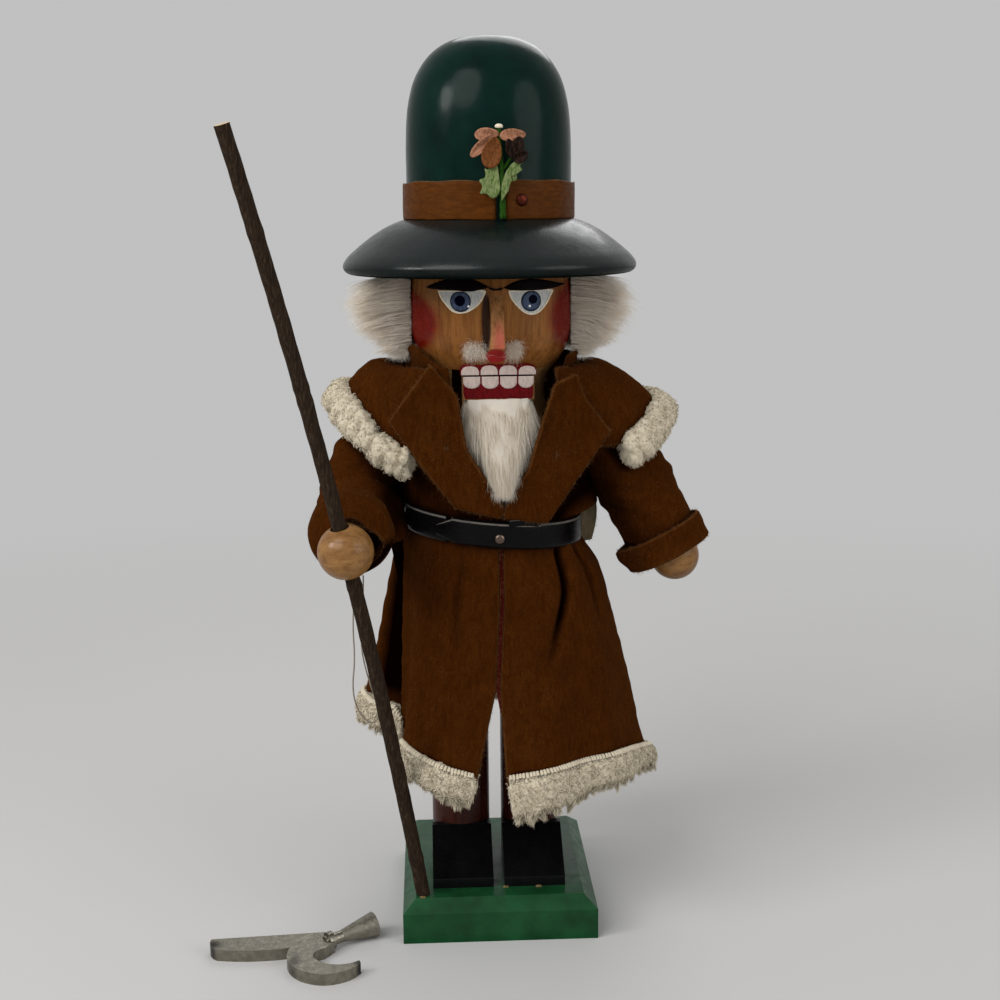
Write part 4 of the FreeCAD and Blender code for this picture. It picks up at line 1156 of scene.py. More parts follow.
@dataclass
class Studio:
    """Camera, lamps, floor and surround."""

    eye: Colour = (-0.0286, -0.7299, 0.3525)
    yaw: float = -2.55
    pitch: float = -11.14
    roll: float = 0.56
    lens: float = 54.0
    lamps: tuple[tuple[str, Colour, Colour, float, float], ...] = (
        ("key", (-0.75, -0.95, 1.25), (0.0, 0.0, 0.2), 1.1, 12.5),
        ("window", (-1.3, -0.6, 0.95), (0.0, 0.0, 0.3), 0.46, 7.5),
        ("fill", (1.2, -0.8, 0.75), (0.0, 0.0, 0.2), 1.1, 6.0),
        ("back", (0.25, 1.1, 1.2), (0.0, 0.0, 0.26), 1.0, 6.0),
    )
    surround: float = 0.5
    backdrop: float = 0.53

    def camera(self) -> None:
        """Puts the camera where the photograph was taken from."""
        turn = (Matrix.Rotation(math.radians(self.yaw), 3, "Z") @ Matrix.Rotation(math.radians(self.pitch), 3, "X")
                @ Matrix.Rotation(math.radians(self.roll), 3, "Y"))
        across, ahead, up = turn.col[0], turn.col[1], turn.col[2]
        lens = bpy.data.cameras.new("camera")
        lens.lens = self.lens
        lens.sensor_width = 36.0
        camera = bpy.data.objects.new("camera", lens)
        camera.matrix_world = Matrix.Translation(self.eye) @ Matrix((across, up, -ahead)).transposed().to_4x4()
        bpy.context.scene.collection.objects.link(camera)
        bpy.context.scene.camera = camera

    def light(self) -> None:
        """Hangs the soft lamps."""
        for name, place, aim, size, power in self.lamps:
            lamp = bpy.data.lights.new(name, "AREA")
            lamp.shape = "DISK"
            lamp.size = size
            lamp.energy = power
            holder = bpy.data.objects.new(name, lamp)
            holder.location = place
            holder.rotation_euler = (Vector(aim) - Vector(place)).to_track_quat("-Z", "Y").to_euler()
            bpy.context.scene.collection.objects.link(holder)

    def floor(self) -> None:
        """Lays a pale floor."""
        mesh = bpy.data.meshes.new("floor")
        half = 3.0
        mesh.from_pydata([(-half, -half, 0), (half, -half, 0), (half, half, 0), (-half, half, 0)], [], [(0, 1, 2, 3)])
        mesh.materials.append(floor_material((0.5, 0.495, 0.485), self.backdrop))
        floor = bpy.data.objects.new("floor", mesh)
        bpy.context.scene.collection.objects.link(floor)

    def sky(self) -> None:
        """Surrounds the object with soft light that looks pale to the camera."""
        world = bpy.data.worlds.new("surround")
        bpy.context.scene.world = world
        world.use_nodes = True
        tree = world.node_tree
        background = tree.nodes["Background"]
        background.inputs["Color"].default_value = (1.0, 1.0, 1.0, 1.0)
        path = tree.nodes.new("ShaderNodeLightPath")
        seen = tree.nodes.new("ShaderNodeMath")
        seen.operation = "MAXIMUM"
        tree.links.new(path.outputs["Is Camera Ray"], seen.inputs[0])
        tree.links.new(path.outputs["Is Glossy Ray"], seen.inputs[1])
        through = tree.nodes.new("ShaderNodeMath")
        through.operation = "MAXIMUM"
        tree.links.new(seen.outputs[0], through.inputs[0])
        tree.links.new(path.outputs["Is Transmission Ray"], through.inputs[1])
        strength = tree.nodes.new("ShaderNodeMapRange")
        tree.links.new(through.outputs[0], strength.inputs["Value"])
        strength.inputs["To Min"].default_value = self.surround
        strength.inputs["To Max"].default_value = self.backdrop
        tree.links.new(strength.outputs["Result"], background.inputs["Strength"])

    def build(self) -> None:
        """Sets up everything round the object."""
        self.camera()
        self.light()
        self.floor()
        self.sky()
        bpy.context.scene.view_settings.view_transform = "Standard"


@dataclass
class SewingThread:
    """The loose thread that hangs under the right cuff."""

    diameter: float = 0.0007
    route: tuple[Colour, ...] = (
        (-0.066, -0.056, 0.1842), (-0.0666, -0.0556, 0.176), (-0.0676, -0.055, 0.16), (-0.067, -0.0546, 0.145),
        (-0.0688, -0.0542, 0.13), (-0.0666, -0.054, 0.1195), (-0.061, -0.054, 0.1126), (-0.0564, -0.0542, 0.115),
        (-0.0576, -0.0544, 0.124), (-0.0616, -0.0548, 0.137), (-0.0642, -0.0552, 0.151),
        (-0.063, -0.0558, 0.168), (-0.0622, -0.056, 0.177), (-0.062, -0.0562, 0.1854),
    )

    def build(self, paints: Paintbox) -> None:
        """Makes the thread along its route."""
        curve = bpy.data.curves.new("loose_thread", "CURVE")
        curve.dimensions = "3D"
        spline = curve.splines.new("NURBS")
        spline.points.add(len(self.route) - 1)
        for point, place in zip(spline.points, self.route):
            point.co = (*place, 1.0)
        spline.order_u = 3
        spline.use_endpoint_u = True
        spline.resolution_u = 12
        curve.bevel_depth = self.diameter / 2
        curve.bevel_resolution = 3
        curve.materials.append(paints.take(THREAD)[0])
        thread = bpy.data.objects.new("loose_thread", curve)
        bpy.context.scene.collection.objects.link(thread)
        hand_over(thread, Body.FIGURE, ["thread"])


@dataclass
class Footing:
    """Painted base, boots and legs."""

    specks: tuple[Colour, ...] = ((3.2, -38.4, 21.0), (19.5, -38.7, 21.0), (-37.9, -47.2, 21.0))

    def build(self, paints: Paintbox) -> None:
        """Finishes the turned and sawn parts under the coat."""
        dress(paints, "base_plinth", GREEN, 0.7)
        for side in ("right", "left"):
            dress(paints, f"{side}_leg", LEG, 0.5)
            dress(paints, f"{side}_boot", BOOT, 1.1)
        dress(paints, "leg_dowels", DOWEL_WOOD, 0.3)
        glue = Surface()
        for n, (x, y, z) in enumerate(self.specks):
            blob = lathe([(1.9, -0.5), (1.8, 0.1), (1.2, 0.6), (0.0, 0.75)], 12)
            wobble = 1 + 0.25 * ripple(blob * 3, 4.0, n + 40)[..., None]
            glue.skin(blob * wobble * np.array([0.8, 0.4, 0.6]) + np.array([x, y, z]), wrap=True)
        glue.build("glue_specks", paints.take(GLUE))


def lathe(profile: Sequence[tuple[float, float]], columns: int, start: float = 0.0, end: float = 360.0) -> Array:
    """Turns a profile round the Z axis.

    Args:
        profile: Pairs of radius and height, from low to high.
        columns: Columns; a full turn leaves out the last, to be wrapped.
        start: First angle in degrees.
        end: Last angle in degrees.

    Returns:
        A (rows, columns, 3) grid facing outward.
    """
    angle = np.radians(np.linspace(start, end, columns, endpoint=abs(end - start) < 359.9))
    p = np.asarray(profile, float)
    r, z = p[:, :1], p[:, 1:]
    return xyz(r * np.cos(angle), r * np.sin(angle), z)


@dataclass
class Face:
    """The painted head: brows, eyes, nose, teeth and lips."""

    heights: tuple[float, ...] = (263.0, 276.5, 279.0, 282.0, 286.0, 290.0, 294.0, 309.0, 320.0)
    radii: tuple[float, ...] = (31.2, 31.2, 33.1, 35.0, 37.0, 38.5, 39.5, 39.5, 38.2)
    jaw_front: float = 33.5
    brows: tuple[tuple[tuple[float, float], ...], ...] = (
        ((-31.2, 315.0), (-27.2, 317.0), (-23.2, 318.4), (-18.8, 319.4), (-14.9, 319.6), (-11.4, 319.4), (-8.4, 318.8),
         (-5.3, 317.5), (-2.3, 315.6), (-4.9, 314.5), (-9.3, 313.6), (-14.0, 313.6), (-20.0, 314.1), (-25.5, 314.3),
         (-28.5, 314.4)),
        ((4.5, 315.0), (7.4, 316.7), (10.5, 317.9), (14.1, 318.7), (17.3, 318.9), (21.4, 318.6), (26.2, 317.8),
         (30.5, 316.7), (35.2, 315.6), (28.5, 314.1), (23.7, 313.6), (19.5, 313.5), (12.7, 313.6), (8.2, 314.0)),
    )
    bridge: tuple[tuple[float, float], ...] = (
        (-3.4, 316.0), (-0.6, 314.9), (1.6, 314.6), (4.4, 315.2), (3.8, 314.2), (1.6, 313.9), (-0.6, 314.1))
    eyes: tuple[tuple[tuple[float, float], ...], ...] = (
        ((-25.5, 314.0), (-14.5, 314.2), (-3.9, 314.3), (-4.4, 310.8), (-6.8, 307.3), (-11.2, 304.3), (-15.1, 303.4),
         (-18.8, 304.2), (-21.8, 307.2), (-24.4, 310.8)),
        ((6.8, 314.0), (17.2, 314.1), (28.0, 313.8), (27.1, 310.2), (24.6, 306.2), (21.3, 303.2), (17.4, 302.4),
         (13.7, 303.8), (10.1, 307.3), (7.6, 310.8)),
    )
    irises: tuple[tuple[float, float, float], ...] = ((-15.0, 309.0, 4.9), (17.6, 308.8, 4.9))
    pupils: tuple[tuple[float, float, float], ...] = ((-15.3, 309.3, 2.5), (18.5, 309.6, 2.15))
    glints: tuple[tuple[float, float, float], ...] = ((-11.4, 306.9, 0.55), (16.9, 306.6, 0.6))
    upper_teeth: tuple[tuple[float, float, float], ...] = (
        (-15.2, -6.7, 279.0), (-6.1, 2.0, 279.3), (2.6, 11.0, 279.2), (11.6, 19.8, 278.9))
    lower_teeth: tuple[tuple[float, float, float], ...] = (
        (-14.3, -6.2, 268.3), (-5.6, 2.4, 268.1), (3.0, 10.9, 268.1), (11.5, 18.8, 268.3))
    line: float = 276.5
    bite: float = 274.3

    def on_head(self, x: Array, z: Array, lift: Array) -> Array:
        """Points on the head's front, lifted off it."""
        r = np.interp(z, self.heights, self.radii) + lift
        return xyz(x, -np.sqrt(np.maximum(r * r - x * x, 1.0)), z)

    def on_jaw(self, x: Array, z: Array, lift: Array) -> Array:
        """Points on the lever's flat front, lifted off it."""
        return xyz(x, -self.jaw_front - lift, z)

    def on_gum(self, x: Array, z: Array, lift: Array) -> Array:
        """Points on the gum that hangs in front of the bite, or behind its rim where the lift is negative."""
        behind = np.where(z > self.line + 0.1, self.on_head(x, z, lift)[..., 1], -self.jaw_front - 0.15)
        return xyz(x, np.where(lift < 0, behind, -self.jaw_front - 0.6 - lift), z)

    def daub(self, surface: Surface, outline: Sequence[tuple[float, float]], lift: float, slot: int,
             place: Callable[[Array, Array, Array], Array], inner: float = 0.0, smooth: bool = True) -> None:
        """Adds one shape of thick paint.

        Args:
            surface: Where it goes.
            outline: Its outline in x and z.
            lift: Thickness of the paint.
            slot: Its finish.
            place: Puts it on the head or on the jaw.
            inner: Leaves a hole of this share, for a rim.
            smooth: Whether the outline is curved.
        """
        closed = np.asarray(list(outline) + [outline[0]], float)
        line = spline_through(closed, 73) if smooth else straight_through(closed, 73)
        line = line[:-1]
        centre = line.mean(axis=0)
        shares = np.concatenate([np.linspace(inner, 0.97, 7), [1.0]])
        flat = centre + (line - centre) * shares[:, None, None]
        lifts = np.full(flat.shape[:2], lift)
        lifts[-1] = -0.15
        lifts[-2] = lift * 0.85
        if inner:
            lifts[0] = 0.0
        surface.skin(place(flat[..., 0], flat[..., 1], lifts), slot, wrap=True, flip=area_of(line) < 0)

    def disc(self, x: float, z: float, r: float) -> list[tuple[float, float]]:
        """The outline of a round spot."""
        return [(x + r * math.cos(a), z + r * math.sin(a)) for a in full_turn(16)]

    def build_eyes(self, paints: Paintbox) -> None:
        """Paints brows and eyes."""
        paint = Surface()
        for eye, iris, pupil, glint in zip(self.eyes, self.irises, self.pupils, self.glints):
            self.daub(paint, eye, 0.2, 0, self.on_head)
            self.daub(paint, eye, 0.42, 1, self.on_head, inner=0.865)
            self.daub(paint, self.disc(*iris), 0.34, 3, self.on_head)
            self.daub(paint, self.disc(iris[0], iris[1] + 0.1, iris[2] - 0.55), 0.42, 2, self.on_head)
            self.daub(paint, self.disc(*pupil), 0.5, 4, self.on_head)
            self.daub(paint, self.disc(*glint), 0.62, 5, self.on_head)
        paint.build("painted_eyes", paints.take(EYE_WHITE, EYE_RIM, IRIS, IRIS_RING, PUPIL, GLINT))
        brows = Surface()
        for brow in (*self.brows, self.bridge):
            self.daub(brows, brow, 0.62, 0, self.on_head)
        brows.build("painted_brows", paints.take(BROW_PAINT_AND_BITE_SHADOW))

    def tooth(self, left: float, right: float, root: float, tip: float) -> list[tuple[float, float]]:
        """A tooth's outline, square at the bite and rounded at the root.

        Args:
            left: Its left side.
            right: Its right side.
            root: Height of its root.
            tip: Height of its edge at the bite.

        Returns:
            Corners in x and z.
        """
        out = np.sign(root - tip)
        width = right - left
        middle = (left + right) / 2
        rise = abs(root - tip)
        shoulder = root - out * min(rise * 0.55, 2.4)
        return [(left, tip), (left, shoulder), (left + width * 0.1, root - out * rise * 0.2),
                (left + width * 0.27, root - out * rise * 0.05), (middle, root),
                (right - width * 0.27, root - out * rise * 0.05), (right - width * 0.1, root - out * rise * 0.2),
                (right, shoulder), (right, tip)]

    def build_mouth(self, paints: Paintbox) -> None:
        """Paints the teeth and lips above and below the bite, with a black painted shadow along the bite."""
        upper = Surface()
        gum = [(-15.6, self.bite + 0.3), (-15.7, 277.6), (-14.6, 279.1), (-11.4, 279.8), (-6.4, 279.2), (-2.0, 280.0),
               (2.3, 279.5), (6.6, 279.9), (11.2, 279.4), (15.8, 279.7), (19.2, 278.6), (20.2, 277.0),
               (20.1, self.bite + 0.3)]
        self.daub(upper, gum, 0.0, 1, self.on_gum, smooth=False)
        for left, right, root in self.upper_teeth:
            self.daub(upper, self.tooth(left, right, root, self.bite + 0.4), 0.35, 0, self.on_gum, smooth=False)
        upper.build("painted_upper_teeth", paints.take(TOOTH, LIP))
        lower = Surface()
        lip = [(-14.5, 276.0), (-14.5, 266.0), (-13.6, 263.4), (18.0, 263.3), (18.8, 265.5), (18.8, 276.0)]
        self.daub(lower, lip, 0.12, 1, self.on_jaw, smooth=False)
        # Painted shadow: a black band along the bite, where the gap between head and jaw is in shade.
        shadow = [(-14.5, self.bite - 0.35), (-14.5, 276.0), (18.8, 276.0), (18.8, self.bite - 0.35)]
        self.daub(lower, shadow, 0.2, 2, self.on_jaw, smooth=False)
        for left, right, root in self.lower_teeth:
            self.daub(lower, self.tooth(left, right, root, self.bite - 0.3), 0.42, 0, self.on_jaw, smooth=False)
        lower.build("painted_lower_teeth", paints.take(TOOTH, LIP, BROW_PAINT_AND_BITE_SHADOW), Body.JAW)

    def build(self, paints: Paintbox) -> None:
        """Makes the face."""
        dress(paints, "head", FACE, 0.5)
        dress(paints, "nose", NOSE, 0.7)
        self.build_eyes(paints)
        self.build_mouth(paints)


def area_of(line: Array) -> float:
    """Signed area of a closed outline in x and z."""
    x, z = line[:, 0], line[:, 1]
    return float(np.sum(x * np.roll(z, -1) - np.roll(x, -1) * z) / 2)


def lumps(points: Array, size: float, height: float, seed: int) -> Array:
    """Heights of rounded tufts packed side by side.

    Args:
        points: Points in millimetres.
        size: Distance between tufts.
        height: Height of a tuft.
        seed: Picks their places.

    Returns:
        One height per point.
    """
    rng = np.random.default_rng(seed)
    flat = points.reshape(-1, 3)
    low = np.floor(flat.min(axis=0) / size).astype(int) - 1
    cell = np.floor(flat / size).astype(int) - low
    shape = cell.max(axis=0) + 2
    seeds = rng.random((*shape, 3))
    best = np.full(len(flat), 9.0)
    for step in np.ndindex(3, 3, 3):
        near = cell + np.array(step) - 1
        centre = (near + low + seeds[near[:, 0], near[:, 1], near[:, 2]]) * size
        best = np.minimum(best, np.linalg.norm(flat - centre, axis=1) / size)
    return (height * np.sqrt(np.clip(1 - (best / 0.85) ** 2, 0, 1))).reshape(points.shape[:-1])


def swell(grid: Array, wrap: bool, amount: Array) -> Array:
    """Moves a grid out along its own directions."""
    return grid + grid_normals(grid, wrap) * amount[..., None]


def closed_ends(grid: Array) -> Array:
    """Closes a wrapped grid's first and last rows to a point each."""
    ends = [np.repeat(row.mean(axis=1, keepdims=True), grid.shape[1], axis=1) for row in (grid[:1], grid[-1:])]
    return np.concatenate([ends[0], grid, ends[1]])


@dataclass
class FleeceTrim:
    """A band of cream fleece: knotted tufts, loose curls and a stitched top edge."""

    name: str
    node: str
    seed: int
    tuft: float = 4.8
    height: float = 2.6
    curls: int = 6000
    curl_length: float = 2.0
    tails: int = 0

    def build(self, paints: Paintbox, sections: Array, stitched: Array | None = None) -> bpy.types.Object:
        """Makes the band from its cross-sections.

        Args:
            paints: Where materials come from.
            sections: (n, m, 3) closed cross-sections along the band.
            stitched: Points along the sewn edge, and the way over it, stacked.

        Returns:
            The band.
        """
        rng = np.random.default_rng(self.seed)
        core = closed_ends(sections)
        outward = grid_normals(core, True)
        centre = core.mean(axis=1, keepdims=True)
        if np.sum(outward * (core - centre)) < 0:
            core = core[:, ::-1]
        rise = (lumps(core, self.tuft, self.height, self.seed)
                + lumps(core, self.tuft * 0.5, self.height * 0.3, self.seed + 2)
                + 0.3 * ripple(core, 1.8, self.seed + 1))
        rise[[0, -1]] = 0
        bumpy = swell(core, True, rise - self.height * 0.45)
        surface = Surface()
        surface.skin(bumpy, wrap=True)
        roots, normals = scatter(bumpy[1:-1], self.curls, rng, wrap=True)
        twist = unit(np.cross(normals, rng.normal(size=normals.shape)))
        length = rng.uniform(0.6, 1.2, len(roots)) * self.curl_length
        t = np.linspace(0, 1, 6)[None, :, None]
        paths = roots[:, None] - normals[:, None] * 0.3 + length[:, None, None] * (
            normals[:, None] * np.sin(t * 2.2) * 0.5 + twist[:, None] * t * 0.75
            + np.array([0, 0, -1.0]) * t**2 * 0.25)
        surface.ribbons(paths, rng.uniform(0.26, 0.5, len(roots)), rng)
        if self.tails:
            self.hang(surface, bumpy, rng)
        if stitched is not None:
            self.stitch(surface, stitched, rng)
        piece = surface.build(self.name, paints.take(FLEECE), replaces=[self.node], slot="trim_fleece")
        return piece

    def hang(self, surface: Surface, skin: Array, rng: np.random.Generator) -> None:
        """Hangs pointed locks of wool along the lower edge.

        Args:
            surface: Where they go.
            skin: The band's sections.
            rng: Source of the unevenness.
        """
        bottom = skin[np.arange(len(skin)), skin[..., 2].argmin(axis=1)]
        places = rng.uniform(4, len(bottom) - 5, self.tails)
        along = unit(np.gradient(bottom, axis=0))
        for at in places:
            k = int(at)
            root = bottom[k] + np.array([0, 0, 1.2])
            drift = along[k] * rng.normal(0, 1.4)
            tip = root + drift + np.array([0, 0, -rng.uniform(2.2, 5.5)]) + rng.normal(0, 0.7, 3)
            start = root + along[k] * rng.uniform(-2.0, 2.0, (70, 1)) + rng.normal(0, 0.9, (70, 3))
            end = tip + rng.normal(0, 0.55, (70, 3))
            t = np.linspace(0, 1, 5)[None, :, None]
            curl = rng.normal(0, 0.5, (70, 1, 3)) * np.sin(t * rng.uniform(2, 6, (70, 1, 1)))
            surface.ribbons(start[:, None] * (1 - t) + end[:, None] * t + curl, rng.uniform(0.18, 0.36, 70), rng)

    def stitch(self, surface: Surface, edge: Array, rng: np.random.Generator) -> None:
        """Adds the overcast stitches along the sewn edge.

        Args:
            surface: Where they go.
            edge: (2, n, 3) points along the edge, and unit vectors out of it.
            rng: Source of the unevenness.
        """
        line, out = edge
        length = np.concatenate([[0], np.cumsum(np.linalg.norm(np.diff(line, axis=0), axis=1))])
        for s in np.arange(0.6, length[-1], 1.6):
            s = s + rng.uniform(-0.2, 0.2)
            place = np.array([np.interp(s, length, line[:, k]) for k in range(3)])
            away = np.array([np.interp(s, length, out[:, k]) for k in range(3)])
            reach = rng.uniform(1.4, 2.6)
            lean = np.array([rng.uniform(-0.7, 0.7), rng.uniform(-0.3, 0.3), 0])
            path = [place + away * 1.6 + np.array([0, 0, -reach]) + lean,
                    place + away * 2.4 + np.array([0, 0, -reach * 0.4]),
                    place + away * 1.9 + np.array([0, 0, 0.5]), place + away * 0.6 + UP]
            surface.tube(spline_through(path, 7), 0.82)


@dataclass
class Skirt:
    """The coat below the belt, with its split and its fleece hem."""

    fibres: Surface
    radius: float = 41.8
    felt: float = 2.0
    top: float = 198.0
    flare: float = 189.5
    hem: float = 88.5
    tilt: float = 2.6
    split_end: float = 128.0
    trim_thickness: float = 7.0
    outline: tuple[tuple[float, float], ...] = (
        (7.0, -61.5), (24.0, -60.5), (41.0, -47.0), (58.0, -38.0), (69.0, -16.0), (75.0, 4.0), (70.0, 26.0),
        (60.0, 46.0), (36.0, 50.0), (14.0, 61.0), (-10.0, 55.0), (-34.0, 60.0), (-52.0, 47.0), (-69.0, 34.0),
        (-62.0, 6.0), (-52.0, -4.0), (-42.0, -14.0), (-46.0, -30.0), (-41.0, -44.0), (-27.0, -58.0), (-7.0, -61.5))
    trims: tuple[tuple[str, float, float, tuple[float, ...], int], ...] = (
        ("left", 0.0, 4.0, (17.0, 15.5, 13.0, 12.0, 9.0), 11), ("back", 4.0, 15.5, (9.0, 9.5, 9.0, 11.5, 12.5), 12),
        ("right", 16.0, 20.0, (12.0, 12.5, 12.0, 10.5), 13))
    sag: tuple[tuple[float, float], ...] = (
        (0.0, -1.5), (1.0, 1.8), (2.0, 2.4), (3.0, 3.4), (3.5, 1.5), (4.0, -1.6), (4.5, -4.4), (5.0, -7.8),
        (5.5, -12.0), (6.2, -12.0), (7.0, -4.0), (8.0, 6.0), (10.0, 13.5), (12.0, 10.0), (13.0, 10.0),
        (14.0, 12.0), (15.2, 13.5), (15.65, 4.0), (16.0, -2.5), (16.3, -3.0), (16.6, 0.5), (17.0, 4.0),
        (17.5, 5.0), (18.0, 4.2), (19.0, 2.3), (20.0, -1.1))
    puffs: tuple[tuple[float, float, float, float], ...] = (
        (4.4, 2.2, 7.8, 30.0), (13.9, 1.3, 11.5, 10.0), (9.0, 3.0, 5.6, 30.0))
    # Creases: their course as pairs of height and place along the hem, depth, width, and how dark the painted shade in
    # each is.
    creases: tuple[tuple[tuple[tuple[float, float], ...], float, float, float], ...] = (
        (((136.0, 1.4), (145.0, 1.65), (158.0, 2.0), (170.0, 2.3), (185.0, 2.5), (196.0, 2.6)), 3.0, 0.17, 1.0),
        (((84.0, 0.9), (150.0, 1.2)), 1.4, 0.2, 0.0), (((130.0, 18.9), (188.0, 18.6)), 1.5, 0.14, 0.2),
        (((150.0, 3.6), (194.0, 3.5)), 2.4, 0.16, 0.5), (((100.0, 8.7), (192.0, 9.0)), 3.0, 0.24, 0.5),
        (((110.0, 12.2), (192.0, 12.0)), 2.6, 0.2, 0.4), (((96.0, 6.2), (190.0, 6.4)), 2.4, 0.2, 0.4))
    # The deep pleat at the figure's right, from and to along the hem: pushed in, and painted near black as shade.
    pleat: tuple[float, float] = (13.6, 15.42)

    def split_middle(self, z: Array) -> Array:
        """Where the middle of the split lies across the front at a height."""
        return np.interp(z, (self.hem, self.split_end + 2.0, 168.0), (-2.6, -0.1, 2.4))

    def points(self, u: Array, z: Array) -> Array:
        """Points of the outer face.

        Args:
            u: Place along the hem outline, from 0 to 20.
            z: Height.

        Returns:
            Points of the same shape with a last axis of 3.
        """
        hem = spline_through(self.outline, 801)
        index = u / 20 * 800
        hx = np.interp(index, np.arange(801), hem[:, 0])
        hy = np.interp(index, np.arange(801), hem[:, 1])
        angle = np.radians(-90 + 18 * u)
        share = np.maximum(0, (self.flare - z) / (self.flare - self.hem))
        x = self.radius * np.cos(angle) * (1 - share) + hx * share
        y = self.radius * np.sin(angle) * (1 - share) + hy * share
        opened = np.clip((self.split_end - z) / (self.split_end - self.hem), 0, 2)
        middle = self.split_middle(z)
        for side, edge, spread in ((1, u, 4.6), (-1, 20 - u, 7.0)):
            half = 1.7 + opened * spread - share * 7.0
            x = x + side * half * np.exp(-((edge / 0.7) ** 2)) + middle * np.exp(-((edge / 1.3) ** 2))
        away = np.hypot(x, y)
        for middle, width, size, onset in self.puffs:
            t = np.clip((200.0 - z) / onset, 0, 1)
            near = np.exp(-(((u - middle) / width) ** 2))
            bulge = size * t * t * (3 - 2 * t) * (1 - np.clip(share, 0, 1)) ** 0.8 * near
            x, y = x + x / away * bulge, y + y / away * bulge
        return xyz(x, y, z)

    def hem_height(self, u: Array, above: float = 0.0) -> Array:
        """Height of the hem, which is a little lower on the figure's left.

        Args:
            u: Place along the hem outline.
            above: How far above the hem.

        Returns:
            One height per place.
        """
        x = self.points(u, np.full(u.shape, self.hem))[..., 0]
        table = np.array(self.sag)
        return self.hem + above - x * math.tan(math.radians(self.tilt)) + np.interp(u, table[:, 0], table[:, 1])

    def cloth_grid(self) -> tuple[Array, Array]:
        """The dense outer face with the waves and creases of felt, and the painted shade at each point, deepest in the
        creases and the pleat.

        Returns:
            The grid, and one painted shade value per point.
        """
        u = np.linspace(0, 20, 361)[None, :]
        low = self.hem_height(u, -3.0)
        share = np.linspace(0, 1, 96)[:, None] ** 0.95
        z = low + (self.top - low) * share
        grid = self.points(np.broadcast_to(u, z.shape), z)
        fall = np.clip((self.flare - z) / 100, 0, 1)
        wave = 1.1 * ripple(grid * np.array([1.0, 1.0, 0.22]), 20.0, 3) * fall + 0.25 * ripple(grid, 9.0, 4)
        gather = 0.5 * np.sin(np.radians(u * 18 * 9) + 2 * ripple(grid, 60.0, 5)) * np.exp(-((z - 186) / 9) ** 2)
        edge = np.minimum(u, 20 - u)
        calm = np.clip(edge / 0.5, 0.15, 1)
        push, fold = np.zeros(z.shape), np.zeros(z.shape)
        for line, depth, width, dark in self.creases:
            heights, places = np.array(line).T
            middle = np.interp(z, heights, places) + 0.04 * np.sin(z / 7.0 + width * 90)
            top_fade = np.clip((heights[-1] - z) / 7, 0.25, 1)
            fade = np.clip((z - heights[0]) / 22, 0, 1) ** 0.7 * top_fade * (z > heights[0])
            shape = np.exp(-np.abs((u - middle) / width) ** 1.6)
            push += depth * fade * (0.35 * np.exp(-((u - middle - width * 2.4) / (width * 1.7)) ** 2) - shape)
            # Painted shade along each crease.
            fold = np.maximum(fold, dark * fade * np.clip(shape * 1.5 - 0.3, 0, 1))
        first, last = self.pleat
        inside_pleat = np.clip((u - first + 0.1) / 0.22, 0, 1) * np.clip((last - u) / 0.12, 0, 1)
        low_end = np.clip((z - 98) / 14, 0, 1)
        push -= 6.0 * inside_pleat * low_end * np.clip((188 - z) / 20, 0, 1)
        # The pleat is painted near black as shade.
        fold = np.maximum(fold, inside_pleat * low_end)
        return swell(grid, False, (wave + gather) * calm + push), fold

    def trim_sections(self, first: float, last: float, heights: Sequence[float]) -> tuple[Array, Array]:
        """Cross-sections of one hem band and its sewn edge.

        Args:
            first: Start along the outline.
            last: End along the outline.
            heights: Heights of the band in millimetres, evenly along it.

        Returns:
            The sections, and the edge with its outward vectors.
        """
        u = np.linspace(first + 0.02, last - 0.02, int((last - first) * 26))
        top = self.hem_height(u)
        face = self.points(u, top)
        height = spline_through([(h, h) for h in heights], len(u))[:, 0]
        low = self.points(u, top - height)
        along = np.gradient(face, axis=0)
        out = unit(np.cross(along, UP))
        angle = full_turn(30)
        across = squared(np.cos(angle), 0.75) * self.trim_thickness / 2
        down = 0.5 - squared(np.sin(angle), 0.7) * 0.5
        along_hem = xyz(u * 14, 0.0, 0.0)
        ragged = 1.0 + 0.13 * ripple(along_hem, 16.0, int(first) + 5) + 0.07 * ripple(along_hem, 5.0, int(first) + 6)
        middle = -self.felt / 2
        sections = (face[:, None] + (low - face)[:, None] * (down[None, :, None] * ragged[:, None, None])
                    + out[:, None] * (across + middle)[None, :, None])
        return sections, np.stack([face + np.array([0, 0, 0.2]), out])

    def build(self, paints: Paintbox) -> None:
        """Makes the skirt and its hem bands."""
        cloth = Surface()
        grid, fold = self.cloth_grid()
        cloth.cloth(grid, self.felt, fuzz=self.fibres, fold=fold)
        skirt = cloth.build("felt_skirt", paints.take(FELT, FELT_EDGE_AND_HIGHLIGHT), replaces=["coat_skirt"], slot="coat_felt")
        lining = Surface()
        across = np.linspace(-5.0, 5.0, 12)[None, :]
        low = self.split_end + 4.0 - 16.0 * np.clip((across + 1.8) / 3.6, 0, 1)
        z = low + (self.top - 3.0 - low) * np.linspace(0, 1, 40)[:, None]
        across = across + self.split_middle(z)
        face = self.points(np.full(z.shape, 0.5), z)[..., 1] + 1.6
        lining.cloth(xyz(across, face, z), 0.8)
        strip = lining.build("felt_underlap", paints.take(LINING), slot="coat_felt")
        for side, first, last, heights, seed in self.trims:
            sections, edge = self.trim_sections(first, last, heights)
            band = FleeceTrim(f"hem_fleece_{side}", f"hem_trim_{side}", seed, 6.5, 1.7, int(2400 * (last - first)), 1.7,
                              int(22 * (last - first)))
            band.build(paints, sections, edge)


